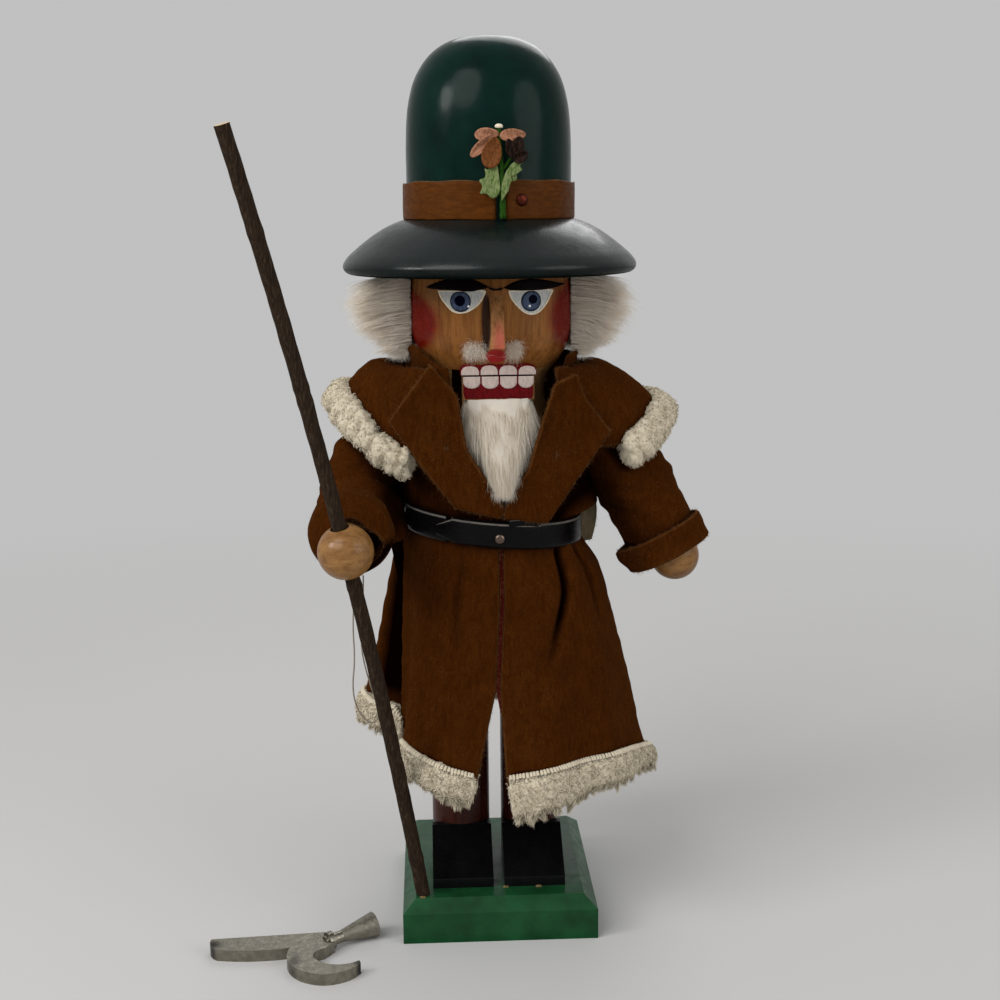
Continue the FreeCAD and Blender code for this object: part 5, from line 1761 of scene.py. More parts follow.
def streaks(grid: Array, lines: Sequence[tuple[float, float, float, float, float, float]]) -> Array:
    """Soft shadow lines on cloth, as laid out in the front view.

    Args:
        grid: Points of the cloth.
        lines: Both ends in x and z, the reach and how dark, for each line.

    Returns:
        A value from 0 to 1 per point.
    """
    result = np.zeros(grid.shape[:-1])
    for ax, az, bx, bz, reach, dark in lines:
        along = np.array([bx - ax, bz - az])
        flat = grid[..., [0, 2]] - np.array([ax, az])
        t = np.clip(flat @ along / (along @ along), 0, 1)
        away = np.linalg.norm(flat - t[..., None] * along, axis=-1)
        near = np.clip(1.35 * (1 - away / reach), 0, 1)
        result = np.maximum(result, dark * near * np.clip((14 - grid[..., 1]) / 8, 0, 1))
    return result


def pulled(grid: Array, centre: Colour, reach: float, by: Colour) -> Array:
    """Cloth drawn out round one point, fading with distance."""
    near = np.exp(-(np.linalg.norm(grid - np.array(centre), axis=-1, keepdims=True) / reach) ** 2)
    return grid + near * np.array(by)


@dataclass
class Bodice:
    """The coat above the belt: body, lapels, collar and shoulder capes."""

    fibres: Surface
    radius: float = 41.8
    felt: float = 2.0
    lapel_radius: float = 142.0
    lapel_centre: float = 97.9
    lapels: tuple[tuple[str, tuple[tuple[float, float], ...]], ...] = (
        ("right", ((-29.5, 280.0), (-48.6, 254.0), (-35.0, 235.2), (-18.6, 214.2), (1.8, 209.3), (3.6, 212.6),
                   (-14.2, 241.0), (-18.2, 266.3))),
        ("left", ((38.0, 274.7), (42.3, 262.8), (54.1, 247.4), (37.5, 225.3), (24.5, 206.2), (4.4, 208.8),
                  (4.6, 212.6), (16.1, 231.2), (23.2, 254.4), (28.5, 270.5))),
    )
    opening: tuple[tuple[float, float], ...] = (
        (4.0, 208.5), (21.0, 236.0), (27.15, 263.0), (-22.85, 263.0), (-16.7, 236.0))
    cape_neck: tuple[float, float] = (44.6, 277.0)
    left_rows: tuple[tuple[float, float, float, float], ...] = (
        (-47, 50, 237, 3), (-35, 57.2, 240, 3.5), (-24, 68.6, 242, 6), (-12, 76, 250, 6), (0, 81, 257.5, 6),
        (22, 78, 257.5, 6), (45, 67, 253, 5), (66, 57, 248, 4))
    right_rows: tuple[tuple[float, float, float, float], ...] = (
        (228, 49.5, 236, 3), (222, 53.5, 239, 3.5), (210, 59, 244, 5), (196, 66.5, 257, 6), (180, 71.5, 265.5, 6),
        (160, 70, 264, 6), (135, 63, 256, 5), (114, 57, 248, 4))
    trim_width: float = 12.5
    trim_thickness: float = 11.0

    def build_body(self, paints: Paintbox) -> None:
        """Wraps the felt round the chest, open over the beard and the lever."""
        fine = spline_through([(0, 198), (0, 238)], 30)[:, 1]
        lower = [(self.radius, z) for z in fine]
        angle = np.radians(np.linspace(0, 58, 16))[1:]
        curve = 20.3
        upper = [(self.radius - curve * (1 - math.cos(a)), 238 + curve * math.sin(a)) for a in angle]
        grid = lathe(lower + upper, 361, -90.0 - 180.0, 90.0)
        degrees = np.linspace(-270.0, 90.0, 361)[None, :]
        full = np.clip((grid[..., 2] - 203.0) / 5.0, 0, 1) ** 0.6 * np.clip((240.0 - grid[..., 2]) / 22.0, 0, 1) ** 0.8
        bulge = 10.5 * np.exp(-(((degrees + 5.0) / 17.0) ** 2)) + 6.5 * np.exp(-(((degrees + 178.0) / 16.0) ** 2))
        fold = self.shaded(grid)
        grid = swell(grid, False, 0.3 * ripple(grid, 9.0, 21) + full * bulge - 2.2 * fold * (full > 0))
        middle = (grid[:-1, :-1] + grid[1:, 1:]) / 2
        x, y, z = middle[..., 0], middle[..., 1], middle[..., 2]
        slit = (np.abs(x) < 14.5) & (y > 0) & (z > 212)
        keep = ~(inside(self.opening, x, z) & (y < 0)) & ~slit
        body = Surface()
        body.cloth(grid, self.felt, keep=keep, fuzz=self.fibres, fold=fold)
        piece = body.build("felt_bodice", paints.take(FELT, FELT_EDGE_AND_HIGHLIGHT), replaces=["coat_bodice"], slot="coat_felt")

    def shaded(self, grid: Array) -> Array:
        """How deep in shadow the chest lies, under the lapels and beside the left arm.

        Args:
            grid: Points of the chest.

        Returns:
            One value per point.
        """
        x, y, z = grid[..., 0], grid[..., 1], grid[..., 2]
        front = np.clip(-y / 8.0, 0, 1)
        beside = (x - 24.5) * 0.811 - (z - 206.2) * 0.585
        left = np.clip((beside + 3.0) / 3.0, 0, 1) * np.clip((13.0 - beside) / 5.0, 0, 1) * front * 0.95
        armpit = np.clip(1 - np.abs(y + 1.5) / 3.0, 0, 1) * (x > 0) * 0.8
        right = np.clip((-x - 6.0) / 5.0, 0, 1) * np.clip((y + 14.0) / -4.0, 0.75, 1.0) * 0.62 * front
        return np.maximum(np.maximum(left, armpit), right) * np.clip((244.0 - z) / 6.0, 0, 1)

    def build_strip(self, paints: Paintbox) -> None:
        """Hangs the short olive strip that shows at the figure's left over the belt."""
        t = np.linspace(0, 1, 16)[:, None]
        share = np.linspace(0, 1, 12)[None, :]
        inner, outer = 42.6 + 1.6 * t, 50.4 + 2.4 * np.sin(t * 2.4)
        x = inner + (outer - inner) * share
        strip = Surface()
        strip.cloth(xyz(x, 1.5 + 5.0 * share, 186.5 + 22.0 * t), 0.9, fuzz=self.fibres)
        piece = strip.build("felt_side_strip", paints.take(OLIVE, OLIVE), slot="coat_felt")

    def build_lapels(self, paints: Paintbox) -> None:
        """Lays the two turned-back lapels over the chest."""
        for n, (side, outline) in enumerate(self.lapels):
            line = straight_through(list(outline) + [outline[0]], 161)[:-1]
            line = (line * 2 + np.roll(line, 1, axis=0) + np.roll(line, -1, axis=0)) / 4
            centre = np.array([line[:, 0].mean(), line[:, 1].mean()])
            shares = np.linspace(0.0, 1.0, 22)[:, None, None]
            flat = centre + (line - centre) * shares
            wave = ripple(xyz(flat[..., 0], 0.0, flat[..., 1]), 22.0, 31 + n)
            lift = 1.1 * np.abs(wave) * shares[..., 0] + 1.2 * shares[..., 0] ** 4
            y = self.lapel_centre - np.sqrt(self.lapel_radius**2 - flat[..., 0] ** 2) - lift
            grid = xyz(flat[..., 0], y, flat[..., 1])
            if area_of(line) < 0:
                grid = grid[:, ::-1]
            lapel = Surface()
            lapel.cloth(grid[::-1], self.felt, wrap=True, fuzz=self.fibres)
            piece = lapel.build(
                f"felt_lapel_{side}", paints.take(FELT, FELT_EDGE_AND_HIGHLIGHT), replaces=[f"{side}_lapel"], slot="coat_felt")

    def build_collar(self, paints: Paintbox) -> None:
        """Stands the collar round the neck, open where the lever passes."""
        stand = [(31.8, 254.6), (34.6, 259.0), (37.2, 262.5), (38.9, 268.5), (40.7, 275.0), (42.2, 280.2)]
        profile = spline_through(stand, 34)
        grid = lathe(profile, 281, -34.0, 236.0)
        angle = np.linspace(-34.0, 236.0, 281)[None, :]
        share = np.clip((grid[..., 2] - 262.0) / 18.0, 0, 1)
        right = np.exp(-((angle - 205.0) / 17.0) ** 2)
        low = np.clip((angle - 212.0) / 24.0, 0, 1)
        grid[..., 2] += share * (6.5 * right + 2.5 * np.exp(-((angle + 20.0) / 20.0) ** 2) - 3.5 * low)
        grid[..., :2] *= (1 + share * (0.035 * np.clip(1 - (angle + 34) / 60, 0, 1) - 0.075 * low))[..., None]
        grid = swell(grid, False, 0.5 * ripple(grid, 16.0, 41) * np.linspace(0.2, 1, 34)[:, None])
        middle = (grid[:-1, :-1] + grid[1:, 1:]) / 2
        keep = ~((np.abs(middle[..., 0]) < 14.5) & (middle[..., 1] > 0) & (middle[..., 2] < 277.5))
        collar = Surface()
        collar.cloth(grid, self.felt, keep=keep, fuzz=self.fibres)
        piece = collar.build("felt_collar", paints.take(FELT, FELT), replaces=["collar"], slot="coat_felt")

    def cape_point(self, degrees: float, edge_r: float, edge_z: float, lift: float) -> Array:
        """One section of a cape from its edge up to the neck.

        Args:
            degrees: Where round the neck.
            edge_r: Radius of its edge.
            edge_z: Height of its edge.
            lift: How far the middle stands up.

        Returns:
            Nine points.
        """
        neck = around(self.cape_neck[0], degrees, self.cape_neck[1])
        edge = around(edge_r, degrees, edge_z)
        middle = (neck + edge) / 2 + np.array([0, 0, lift])
        t = np.linspace(0, 1, 9)[:, None]
        return edge * (1 - t) * (1 - 2 * t) + 4 * middle * t * (1 - t) + neck * t * (2 * t - 1)

    def build_cape(self, paints: Paintbox, side: str, rows: Sequence, seed: int) -> None:
        """Makes one shoulder cape and its fleece.

        Args:
            paints: Where materials come from.
            side: Which shoulder.
            rows: Angle, edge radius, edge height and lift, from the front round.
            seed: Picks the waves.
        """
        control = np.swapaxes(np.array([self.cape_point(*row) for row in rows]), 0, 1)
        if side == "right":
            control = control[:, ::-1]
        grid = smooth_grid(control, 40, 110)
        grid = swell(grid, False, 0.9 * ripple(grid, 15.0, seed) + 0.2 * ripple(grid, 5.0, seed + 1))
        cape = Surface()
        cape.cloth(grid, self.felt, fuzz=self.fibres)
        piece = cape.build(
            f"felt_cape_{side}", paints.take(FELT, FELT_EDGE_AND_HIGHLIGHT), replaces=[f"{side}_cape"], slot="coat_felt")
        place = np.linspace(0, len(rows) - 1, 110)
        start = np.argmin(np.abs(place - (2.0 if side == "left" else 0.0)))
        end = 110 if side == "left" else np.argmin(np.abs(place - (len(rows) - 2)))
        edge, inner = grid[0, start:end], grid[2, start:end]
        down = unit(edge - inner)
        out = grid_normals(grid)[0, start:end]
        angle = full_turn(28)
        along = (0.5 - np.cos(angle) * 0.5) * self.trim_width - 1.0
        high = squared(np.sin(angle), 0.7) * self.trim_thickness * 0.46
        base = edge - out * self.felt / 2
        sections = base[:, None] + down[:, None] * along[None, :, None] + out[:, None] * high[None, :, None]
        dense = spline_through(sections, 190)
        FleeceTrim(f"cape_fleece_{side}", f"{side}_cape_trim", seed + 5, tuft=5.6, height=3.3, curls=9000).build(
            paints, dense)

    def build(self, paints: Paintbox) -> None:
        """Makes the upper coat."""
        self.build_body(paints)
        self.build_strip(paints)
        self.build_lapels(paints)
        self.build_collar(paints)
        self.build_cape(paints, "left", self.left_rows, 51)
        self.build_cape(paints, "right", self.right_rows, 61)


def inside(outline: Sequence[tuple[float, float]], x: Array, z: Array) -> Array:
    """Tells which points lie inside an outline.

    Args:
        outline: Its corners.
        x: First coordinates.
        z: Second coordinates.

    Returns:
        True where inside.
    """
    result = np.zeros(x.shape, bool)
    for (ax, az), (bx, bz) in zip(outline, list(outline[1:]) + [outline[0]]):
        crosses = (az > z) != (bz > z)
        at = ax + (z - az) / (bz - az if bz != az else 1e-9) * (bx - ax)
        result ^= crosses & (x < at)
    return result


@dataclass
class Sleeves:
    """The two felt sleeves with their turned-back cuffs."""

    fibres: Surface
    felt: float = 2.0
    right: tuple[tuple[Colour, Colour, float], ...] = (
        ((-42.1, 0, 246.5), (-1, 0, 0), 16.0), ((-59, -2, 232), (-0.72, -0.1, -0.7), 17.4),
        ((-65.6, -13.5, 212), (-0.22, -0.76, -0.6), 19.2), ((-67.2, -36, 205), (0, -1, 0), 16.2),
        ((-67.4, -56, 204.6), (0, -1, 0), 16.2))
    right_shadow: tuple[tuple[float, float, float, float, float, float], ...] = (
        (-44.0, 240.0, -50.0, 205.0, 13.0, 0.75), (-54.0, 243.0, -78.0, 246.0, 5.0, 0.4),
        (-62.0, 214.0, -82.0, 219.0, 2.2, 0.35), (-58.0, 208.0, -80.0, 213.0, 1.8, 0.3))
    left_shadow: tuple[tuple[float, float, float, float, float, float], ...] = (
        (54.0, 241.0, 63.5, 228.5, 4.5, 0.85), (47.0, 232.0, 68.0, 193.0, 8.0, 0.5),
        (66.0, 208.0, 78.0, 196.0, 6.0, 0.25),
        (61.0, 184.5, 70.0, 187.0, 4.0, 1.0), (66.0, 185.0, 98.0, 201.5, 2.6, 0.65))
    left: tuple[tuple[Colour, Colour, float], ...] = (
        ((42.1, 0, 246.5), (1, 0, 0), 16.0), ((60.5, 0, 231), (0.66, 0, -0.75), 18.0),
        ((73.5, -1.5, 211), (0.55, -0.05, -0.83), 18.8), ((84.6, -5.6, 189.4), (0.46, -0.12, -0.88), 18.2))

    def tube_grid(self, stations: Sequence, rows: int, columns: int) -> Array:
        """A cloth tube through round stations.

        Args:
            stations: Centre, direction and radius of each.
            rows: Rows to return.
            columns: Columns round the tube.

        Returns:
            A (rows, columns, 3) grid facing outward.
        """
        rings: list[Array] = []
        side = np.zeros(3)
        angle = full_turn(columns)
        for centre, direction, radius in stations:
            d = unit(np.array(direction, float))
            side = unit(side - d * (side @ d)) if rings else unit(np.cross(d, np.array([0.15, 1.0, 0.35])))
            up = np.cross(d, side)
            rings.append(np.array(centre) + radius * (np.cos(angle)[:, None] * side + np.sin(angle)[:, None] * up))
        return spline_through(rings, rows)

    def build_one(self, paints: Paintbox, name: str, stations: Sequence, cuff: tuple[float, float, float, float],
                  seed: int) -> None:
        """Makes one sleeve and its cuff.

        Args:
            paints: Where materials come from.
            name: Which arm.
            stations: Stations down the arm.
            cuff: Length before the wrist, length past it, outer radius and how far its mouth closes.
            seed: Picks the creases.
        """
        grid = self.tube_grid(stations, 90, 96)
        t = np.linspace(0, 1, 90)[:, None]
        bend = np.exp(-((t - 0.5) / 0.22) ** 2)
        crease = 1.5 * ripple(grid * np.array([0.8, 0.8, 1.9]), 14.0, seed) * (0.3 + bend)
        grid = swell(grid, True, crease * np.clip(t * 8, 0, 1) * np.clip((1 - t) * 6, 0.15, 1))
        if name == "right":
            grid = pulled(grid, (-47.0, -17.0, 201.0), 12.0, (7.5, -0.5, -5.5))
        sleeve = Surface()
        lines = self.right_shadow if name == "right" else self.left_shadow
        sleeve.cloth(grid, self.felt, wrap=True, fuzz=self.fibres, fold=streaks(grid, lines))
        piece = sleeve.build(
            f"felt_sleeve_{name}", paints.take(FELT, FELT_EDGE_AND_HIGHLIGHT), replaces=[f"{name}_sleeve"], slot="coat_felt")
        centre, direction, _ = stations[-1]
        d = unit(np.array(direction, float))
        before, past, radius, close = cuff
        ends = [(np.array(centre) + d * s, direction, radius + lift) for s, lift in
                ((-before, 0.4), (-before * 0.4, 0.1), (past * 0.5, -0.3 - close * 0.3), (past, -close))]
        ring = self.tube_grid(ends, 26, 128)
        wave = 0.7 * ripple(ring, 17.0, seed + 2) + 0.2 * ripple(ring, 6.0, seed + 3)
        ring = swell(ring, True, wave)
        middle = ring.mean(axis=1, keepdims=True)
        if close > 0:
            spoke = unit(ring - middle)
            open_side = np.clip(spoke @ unit(np.array([0.8, 0.0, -0.75])), 0, 1)
            shut = np.clip(1.15 - 2.0 * open_side**2, -0.2, 1)[..., None]
            late = np.clip((np.linspace(0, 1, 26) - 0.62) / 0.38, 0, 1)[:, None, None]
            ring = ring - (ring - middle) * shut * 0.36 * late + d * shut * 1.6 * late
        else:
            ring = pulled(ring, (66.0, -6.0, 179.0), 7.0, (-4.0, -0.4, -1.5))
        # Painted shade in the open mouth of the right cuff.
        mouth = [(-59.0, 191.0, -51.0, 199.0, 5.5, 1.0)] if name == "right" else []
        band = Surface()
        band.cloth(ring, 2.1, wrap=True, fuzz=self.fibres, fold=streaks(ring, mouth))
        piece = band.build(
            f"felt_cuff_{name}", paints.take(FELT, FELT_EDGE_AND_HIGHLIGHT), replaces=[f"{name}_cuff"], slot="coat_felt")

    def build(self, paints: Paintbox) -> None:
        """Makes both sleeves."""
        self.build_one(paints, "right", self.right, (8.0, 7.0, 19.6, 3.6), 71)
        self.build_one(paints, "left", self.left, (3.5, 8.0, 20.8, -0.1), 81)


@dataclass
class Furs:
    """Hair round the back of the head, beard on the jaw, and moustache."""

    inner: float = 39.8
    hair_top: float = 319.4
    hair_bottom: float = 281.0
    hair_start: float = -14.0
    hair_end: float = 194.0
    core: float = 12.0
    strands: int = 30000
    reach: tuple[tuple[float, float], ...] = (
        (278.0, 47.0), (282.0, 51.0), (286.0, 56.5), (292.0, 62.5), (300.0, 66.8), (310.0, 67.4),
        (316.0, 66.4), (321.0, 64.0))

    def hair_sections(self) -> Array:
        """Cross-sections of the strip of fur, from temple to temple.

        Returns:
            A (sections, points, 3) grid.
        """
        degrees = np.linspace(self.hair_start + 2, self.hair_end - 2, 200)
        angle = full_turn(44)
        height = (self.hair_top - self.hair_bottom) / 2 - 1.5
        middle_z = (self.hair_top + self.hair_bottom) / 2 + 1.0
        up = squared(np.sin(angle), 0.75)
        out = 0.5 - 0.5 * squared(np.cos(angle), 0.8)
        wide = self.core * (1 + 0.3 * up)
        reach = self.inner + (out * wide)[None, :]
        z = middle_z + up[None, :] * height
        a = np.radians(degrees)[:, None]
        return xyz(reach * np.cos(a), reach * np.sin(a), z)

    def strand_paths(self, rng: np.random.Generator) -> Array:
        """Paths of the fur's long fibres, gathered into tufts.

        Args:
            rng: Source of the unevenness.

        Returns:
            (strands, steps, 3) points.
        """
        n, tufts = self.strands, 1100
        low, high = self.hair_start - 2.5, self.hair_end + 2.5
        degrees = rng.uniform(low, high, n)
        front = rng.random(n) < 0.16
        ends = np.where(rng.random(n) < 0.5, low - 2.0 + rng.random(n) * 5.0, high + 2.0 - rng.random(n) * 5.0)
        degrees = np.where(front, ends, degrees)
        z = self.hair_bottom + 2.0 + 36.0 * rng.random(n) ** 0.9
        tuft_degrees = rng.uniform(low, high, tufts)
        tuft_z = rng.uniform(self.hair_bottom, self.hair_top, tufts)
        near = np.empty(n, int)
        for part in np.array_split(np.arange(n), 30):
            away = (degrees[part, None] - tuft_degrees) ** 2 + (z[part, None] - tuft_z) ** 2
            near[part] = away.argmin(axis=1)
        pull = rng.uniform(0.3, 0.75, n)
        tuft_out = rng.normal(1.0, 0.035, tufts)
        tuft_drop = rng.uniform(1.0, 8.0, tufts)
        tip_degrees = degrees + (tuft_degrees[near] - degrees) * pull + rng.normal(0, 1.3, n)
        tip_z = z + (tuft_z[near] - z) * pull - tuft_drop[near] - rng.uniform(0, 3.0, n)
        tip_z = np.clip(tip_z, 278.2 + rng.random(n) * 2.5, self.hair_top - 0.2)
        table = np.array(self.reach)
        tip_r = np.interp(tip_z, table[:, 0], table[:, 1]) * tuft_out[near] * rng.uniform(0.86, 1.02, n)
        tip_r += rng.exponential(0.7, n)
        root_r = self.inner + self.core * rng.uniform(0.02, 0.9, n) ** np.where(front, 2.6, 0.8)
        t = np.linspace(0, 1, 7)[None, :]
        r = root_r[:, None] + (tip_r - root_r)[:, None] * (1 - (1 - t) ** 1.5)
        fall = z[:, None] + (tip_z - z)[:, None] * t**1.7
        a = np.radians(degrees[:, None] + (tip_degrees - degrees)[:, None] * t)
        wobble = rng.normal(0, 0.35, (n, 1, 3)) * np.sin(t * rng.uniform(2, 5, (n, 1)))[..., None]
        return xyz(r * np.cos(a), r * np.sin(a), fall) + wobble * np.array([1, 1, 0.6])

    def build_hair(self, paints: Paintbox) -> None:
        """Makes the white fur of the head."""
        rng = np.random.default_rng(101)
        sections = closed_ends(self.hair_sections())
        turn = self.turned(sections)
        rise = 1.0 * ripple(sections, 9.0, 102)
        rise[[0, -1]] = 0
        rise[np.linalg.norm(sections[..., :2], axis=-1) < self.inner + 2.0] = 0
        surface = Surface()
        # The core takes the darker second finish, painted shade deep in the fur.
        surface.skin(swell(sections, True, rise * turn), 1, wrap=True, flip=turn < 0)
        paths = self.strand_paths(rng)
        paths[..., 2] = np.minimum(paths[..., 2], self.hair_top + 0.3)
        surface.ribbons(paths, rng.uniform(0.13, 0.26, len(paths)), rng)
        hair = surface.build("hair_fur", paints.take(FUR, FUR_SHADED_CORE), replaces=["hair"], slot="white_fur")

    def turned(self, sections: Array) -> float:
        """1 where a tube's computed directions point outward, or -1."""
        centre = sections.mean(axis=1, keepdims=True)
        return 1.0 if np.sum(grid_normals(sections, True) * (sections - centre)) > 0 else -1.0

    def beard_sections(self) -> Array:
        """Cross-sections of the beard, from the lip down to its tip.

        Returns:
            A (sections, points, 3) grid.
        """
        rows = [(263.3, -29.6, 2.15, 16.2, 6.0), (257.5, -29.8, 2.4, 15.6, 8.6), (250.0, -30.5, 2.7, 13.4, 10.8),
                (243.0, -34.0, 3.0, 10.2, 10.6), (236.0, -37.5, 3.2, 7.4, 9.4), (228.0, -41.2, 3.6, 4.2, 6.4),
                (221.0, -44.4, 4.0, 1.2, 2.6)]
        angle = full_turn(48)
        rings = []
        for z, back, x, half, depth in rows:
            across = squared(np.cos(angle), 0.85) * half
            fore = np.maximum(np.sin(angle), 0.0) ** 0.8
            rings.append(xyz(x + across, back - fore * depth, z))
        return spline_through(rings, 60)

    def build_beard(self, paints: Paintbox) -> None:
        """Makes the beard, hung on no body."""
        rng = np.random.default_rng(111)
        sections = closed_ends(self.beard_sections())
        turn = self.turned(sections)
        streak = ripple(sections * np.array([1.0, 1.0, 0.12]), 3.0, 112)
        rise = 0.55 * streak
        rise[[0, -1]] = 0
        rise[sections[..., 1] > -31] = 0
        core = swell(sections, True, rise * turn)
        surface = Surface()
        surface.skin(core, wrap=True, flip=turn < 0)
        roots, normals = scatter(core[1:-1], 14000, rng, wrap=True)
        normals = normals * turn
        front = normals[:, 1] < 0.25
        roots, normals = roots[front], normals[front]
        to_tip = unit(np.array([4.0, -47.0, 212.0]) - roots)
        off = roots[:, :1] - 2.5
        side = np.clip((np.abs(off) - 9.0) / 8.0, 0, 1) * np.sign(off) * np.array([0.35, 0, 0])
        aim = unit(to_tip + side + 0.22 * normals
                   + 0.08 * np.stack([ripple(roots, 4.0, 113 + k) for k in range(3)], axis=-1))
        room = np.clip((roots[:, 2] - 217.5) / 14, 0.25, 1)
        length = rng.uniform(7.0, 15.0, len(roots)) * room
        paths = hair_paths(roots - normals * 0.5, aim, length, rng, 0.05, 0.08, 6)
        surface.ribbons(paths, rng.uniform(0.13, 0.24, len(paths)), rng)
        beard = surface.build("beard_silk", paints.take(SILK), None, ["beard"], "white_fur")
        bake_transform(beard)

    def build_moustache(self, paints: Paintbox) -> None:
        """Makes the two sparse tufts under the nose."""
        rng = np.random.default_rng(121)
        surface = Surface()
        for x, wide in ((-8.6, 1.15), (9.6, 0.85)):
            flat = np.stack(np.meshgrid(np.linspace(-4.6, 4.6, 12) * wide, np.linspace(4.6, -4.2, 12)), axis=-1)
            place = Face().on_head(x + flat[..., 0], 287.0 + flat[..., 1], np.full((12, 12), 0.3))
            roots, normals = scatter(place, 2600, rng)
            away = np.hypot((roots[:, 0] - x) / (4.9 * wide), (roots[:, 2] - 286.6) / 4.9)
            shape = away < rng.uniform(0.45, 1.2, len(roots))
            roots, normals = roots[shape], normals[shape] * np.sign(-normals[shape][:, 1:2])
            aim = unit(normals * 0.45 + rng.normal(size=roots.shape) * 0.45 + np.array([0.0, 0.0, -0.45]))
            paths = hair_paths(roots - normals * 0.6, aim, rng.uniform(1.2, 4.0, len(roots)), rng, 0.3, 0.55)
            surface.ribbons(paths, rng.uniform(0.06, 0.12, len(paths)), rng)
        tufts = surface.build("moustache_fur", paints.take(FUR), replaces=["moustache"], slot="white_fur")

    def build(self, paints: Paintbox) -> None:
        """Makes all the fur."""
        self.build_hair(paints)
        self.build_beard(paints)
        self.build_moustache(paints)


@dataclass
class Hat:
    """The turned hat with its leather band."""

    brim: tuple[tuple[float, float], ...] = (
        (39.0, 320.2), (60.0, 320.2), (66.4, 320.5), (68.8, 321.4), (70.0, 322.8), (70.3, 324.5), (69.6, 326.4),
        (67.4, 329.2), (63.4, 332.7), (59.8, 335.6), (56.0, 338.4), (52.0, 341.0), (48.0, 343.1), (44.0, 344.8),
        (41.0, 345.8), (39.0, 346.2))
    crown: tuple[tuple[float, float], ...] = (
        (39.2, 345.0), (39.2, 350.0), (39.2, 360.0), (39.2, 369.0), (39.2, 378.0), (38.9, 387.0), (38.3, 395.0),
        (37.3, 401.2), (35.9, 406.8), (34.1, 411.5), (32.0, 415.3), (29.5, 418.9), (26.7, 421.9), (23.6, 424.4),
        (19.8, 426.6), (15.4, 428.3), (10.5, 429.3), (5.3, 429.85), (0.0, 430.0))
    band_bottom: float = 346.0
    band_top: float = 363.0
    gap_centre: float = -79.0
    rivet_angle: float = -71.0

    def build_turned(self, paints: Paintbox) -> None:
        """Turns the brim and the crown."""
        for name, profile, finish, node, slot, rows in (
                ("hat_brim_turned", self.brim, BRIM, "hat_brim", "brim_dark", 90),
                ("hat_crown_turned", self.crown, CROWN, "hat_crown", "hat_green", 110)):
            grid = lathe(spline_through(profile, rows), 160)
            grid[..., 2] = np.clip(grid[..., 2], 320.0, 430.0)
            shape = Surface()
            shape.skin(grid, wrap=True)
            if node == "hat_brim":
                under = lathe([(5.2, 320.15), (20.0, 320.15), (39.0, 320.2)], 160)
                shape.skin(under, wrap=True)
            shape.build(name, paints.take(finish), replaces=[node], slot=slot)

    def build_band(self, paints: Paintbox) -> None:
        """Wraps the leather band, a little uneven, with its raw edge."""
        start, end = self.gap_centre - 1.6, self.gap_centre + 350.4
        outer = 41.0
        profile = [(outer - 0.5, self.band_bottom), (outer - 0.1, self.band_bottom + 0.4), (outer, 349.0),
                   (outer, 354.5), (outer, 360.0), (outer - 0.1, self.band_top - 0.4), (outer - 0.5, self.band_top)]
        grid = lathe(spline_through(profile, 26), 260, start, end)
        t = np.linspace(0, 1, 260)[None, :]
        share = np.linspace(0, 1, 26)[:, None]
        edge_wave = 0.35 * np.sin(t * 23) * share + 0.25 * np.sin(t * 61 + 1) * share
        grid[..., 2] += edge_wave
        grid = swell(grid, False, 0.12 * ripple(grid, 14.0, 131) + 0.5 * np.exp(-np.minimum(t, 1 - t) * 60))
        band = Surface()
        band.cloth(grid, 1.7)
        band.skin(grid[-2:] + grid_normals(grid)[-2:] * 0.06, 1)
        band.build("hat_band_leather", paints.take(BAND, BAND_EDGE), replaces=["hat_band"], slot="band_leather")
        rivet = Surface()
        dome = lathe([(0.0, -0.2), (2.7, -0.1), (2.75, 0.5), (2.2, 0.95), (1.2, 1.2), (0.0, 1.25)], 28)
        rivet.skin(turn_out(dome, self.rivet_angle, 41.1, 354.5), wrap=True)
        rivet.build("hat_band_rivet_dome", paints.take(RED_RIVET), replaces=["hat_band_rivet"], slot="band_rivet")

    def build(self, paints: Paintbox) -> None:
        """Makes the hat."""
        dress(paints, "hat_dowel", DOWEL_WOOD, 0.3)
        dress(paints, "neck_dowels", DOWEL_WOOD, 0.2)
        self.build_turned(paints)
        self.build_band(paints)


def turn_out(grid: Array, degrees: float, radius: float, z: float) -> Array:
    """Stands a grid made along Z on the outside of a round part.

    Args:
        grid: Points made along the Z axis.
        degrees: Where round the part.
        radius: The part's radius.
        z: Height.

    Returns:
        The moved grid.
    """
    out = around(1.0, degrees, 0.0)
    side = np.cross(UP, out)
    place = around(radius, degrees, z)
    return place + grid[..., :1] * side + grid[..., 1:2] * UP + grid[..., 2:] * out


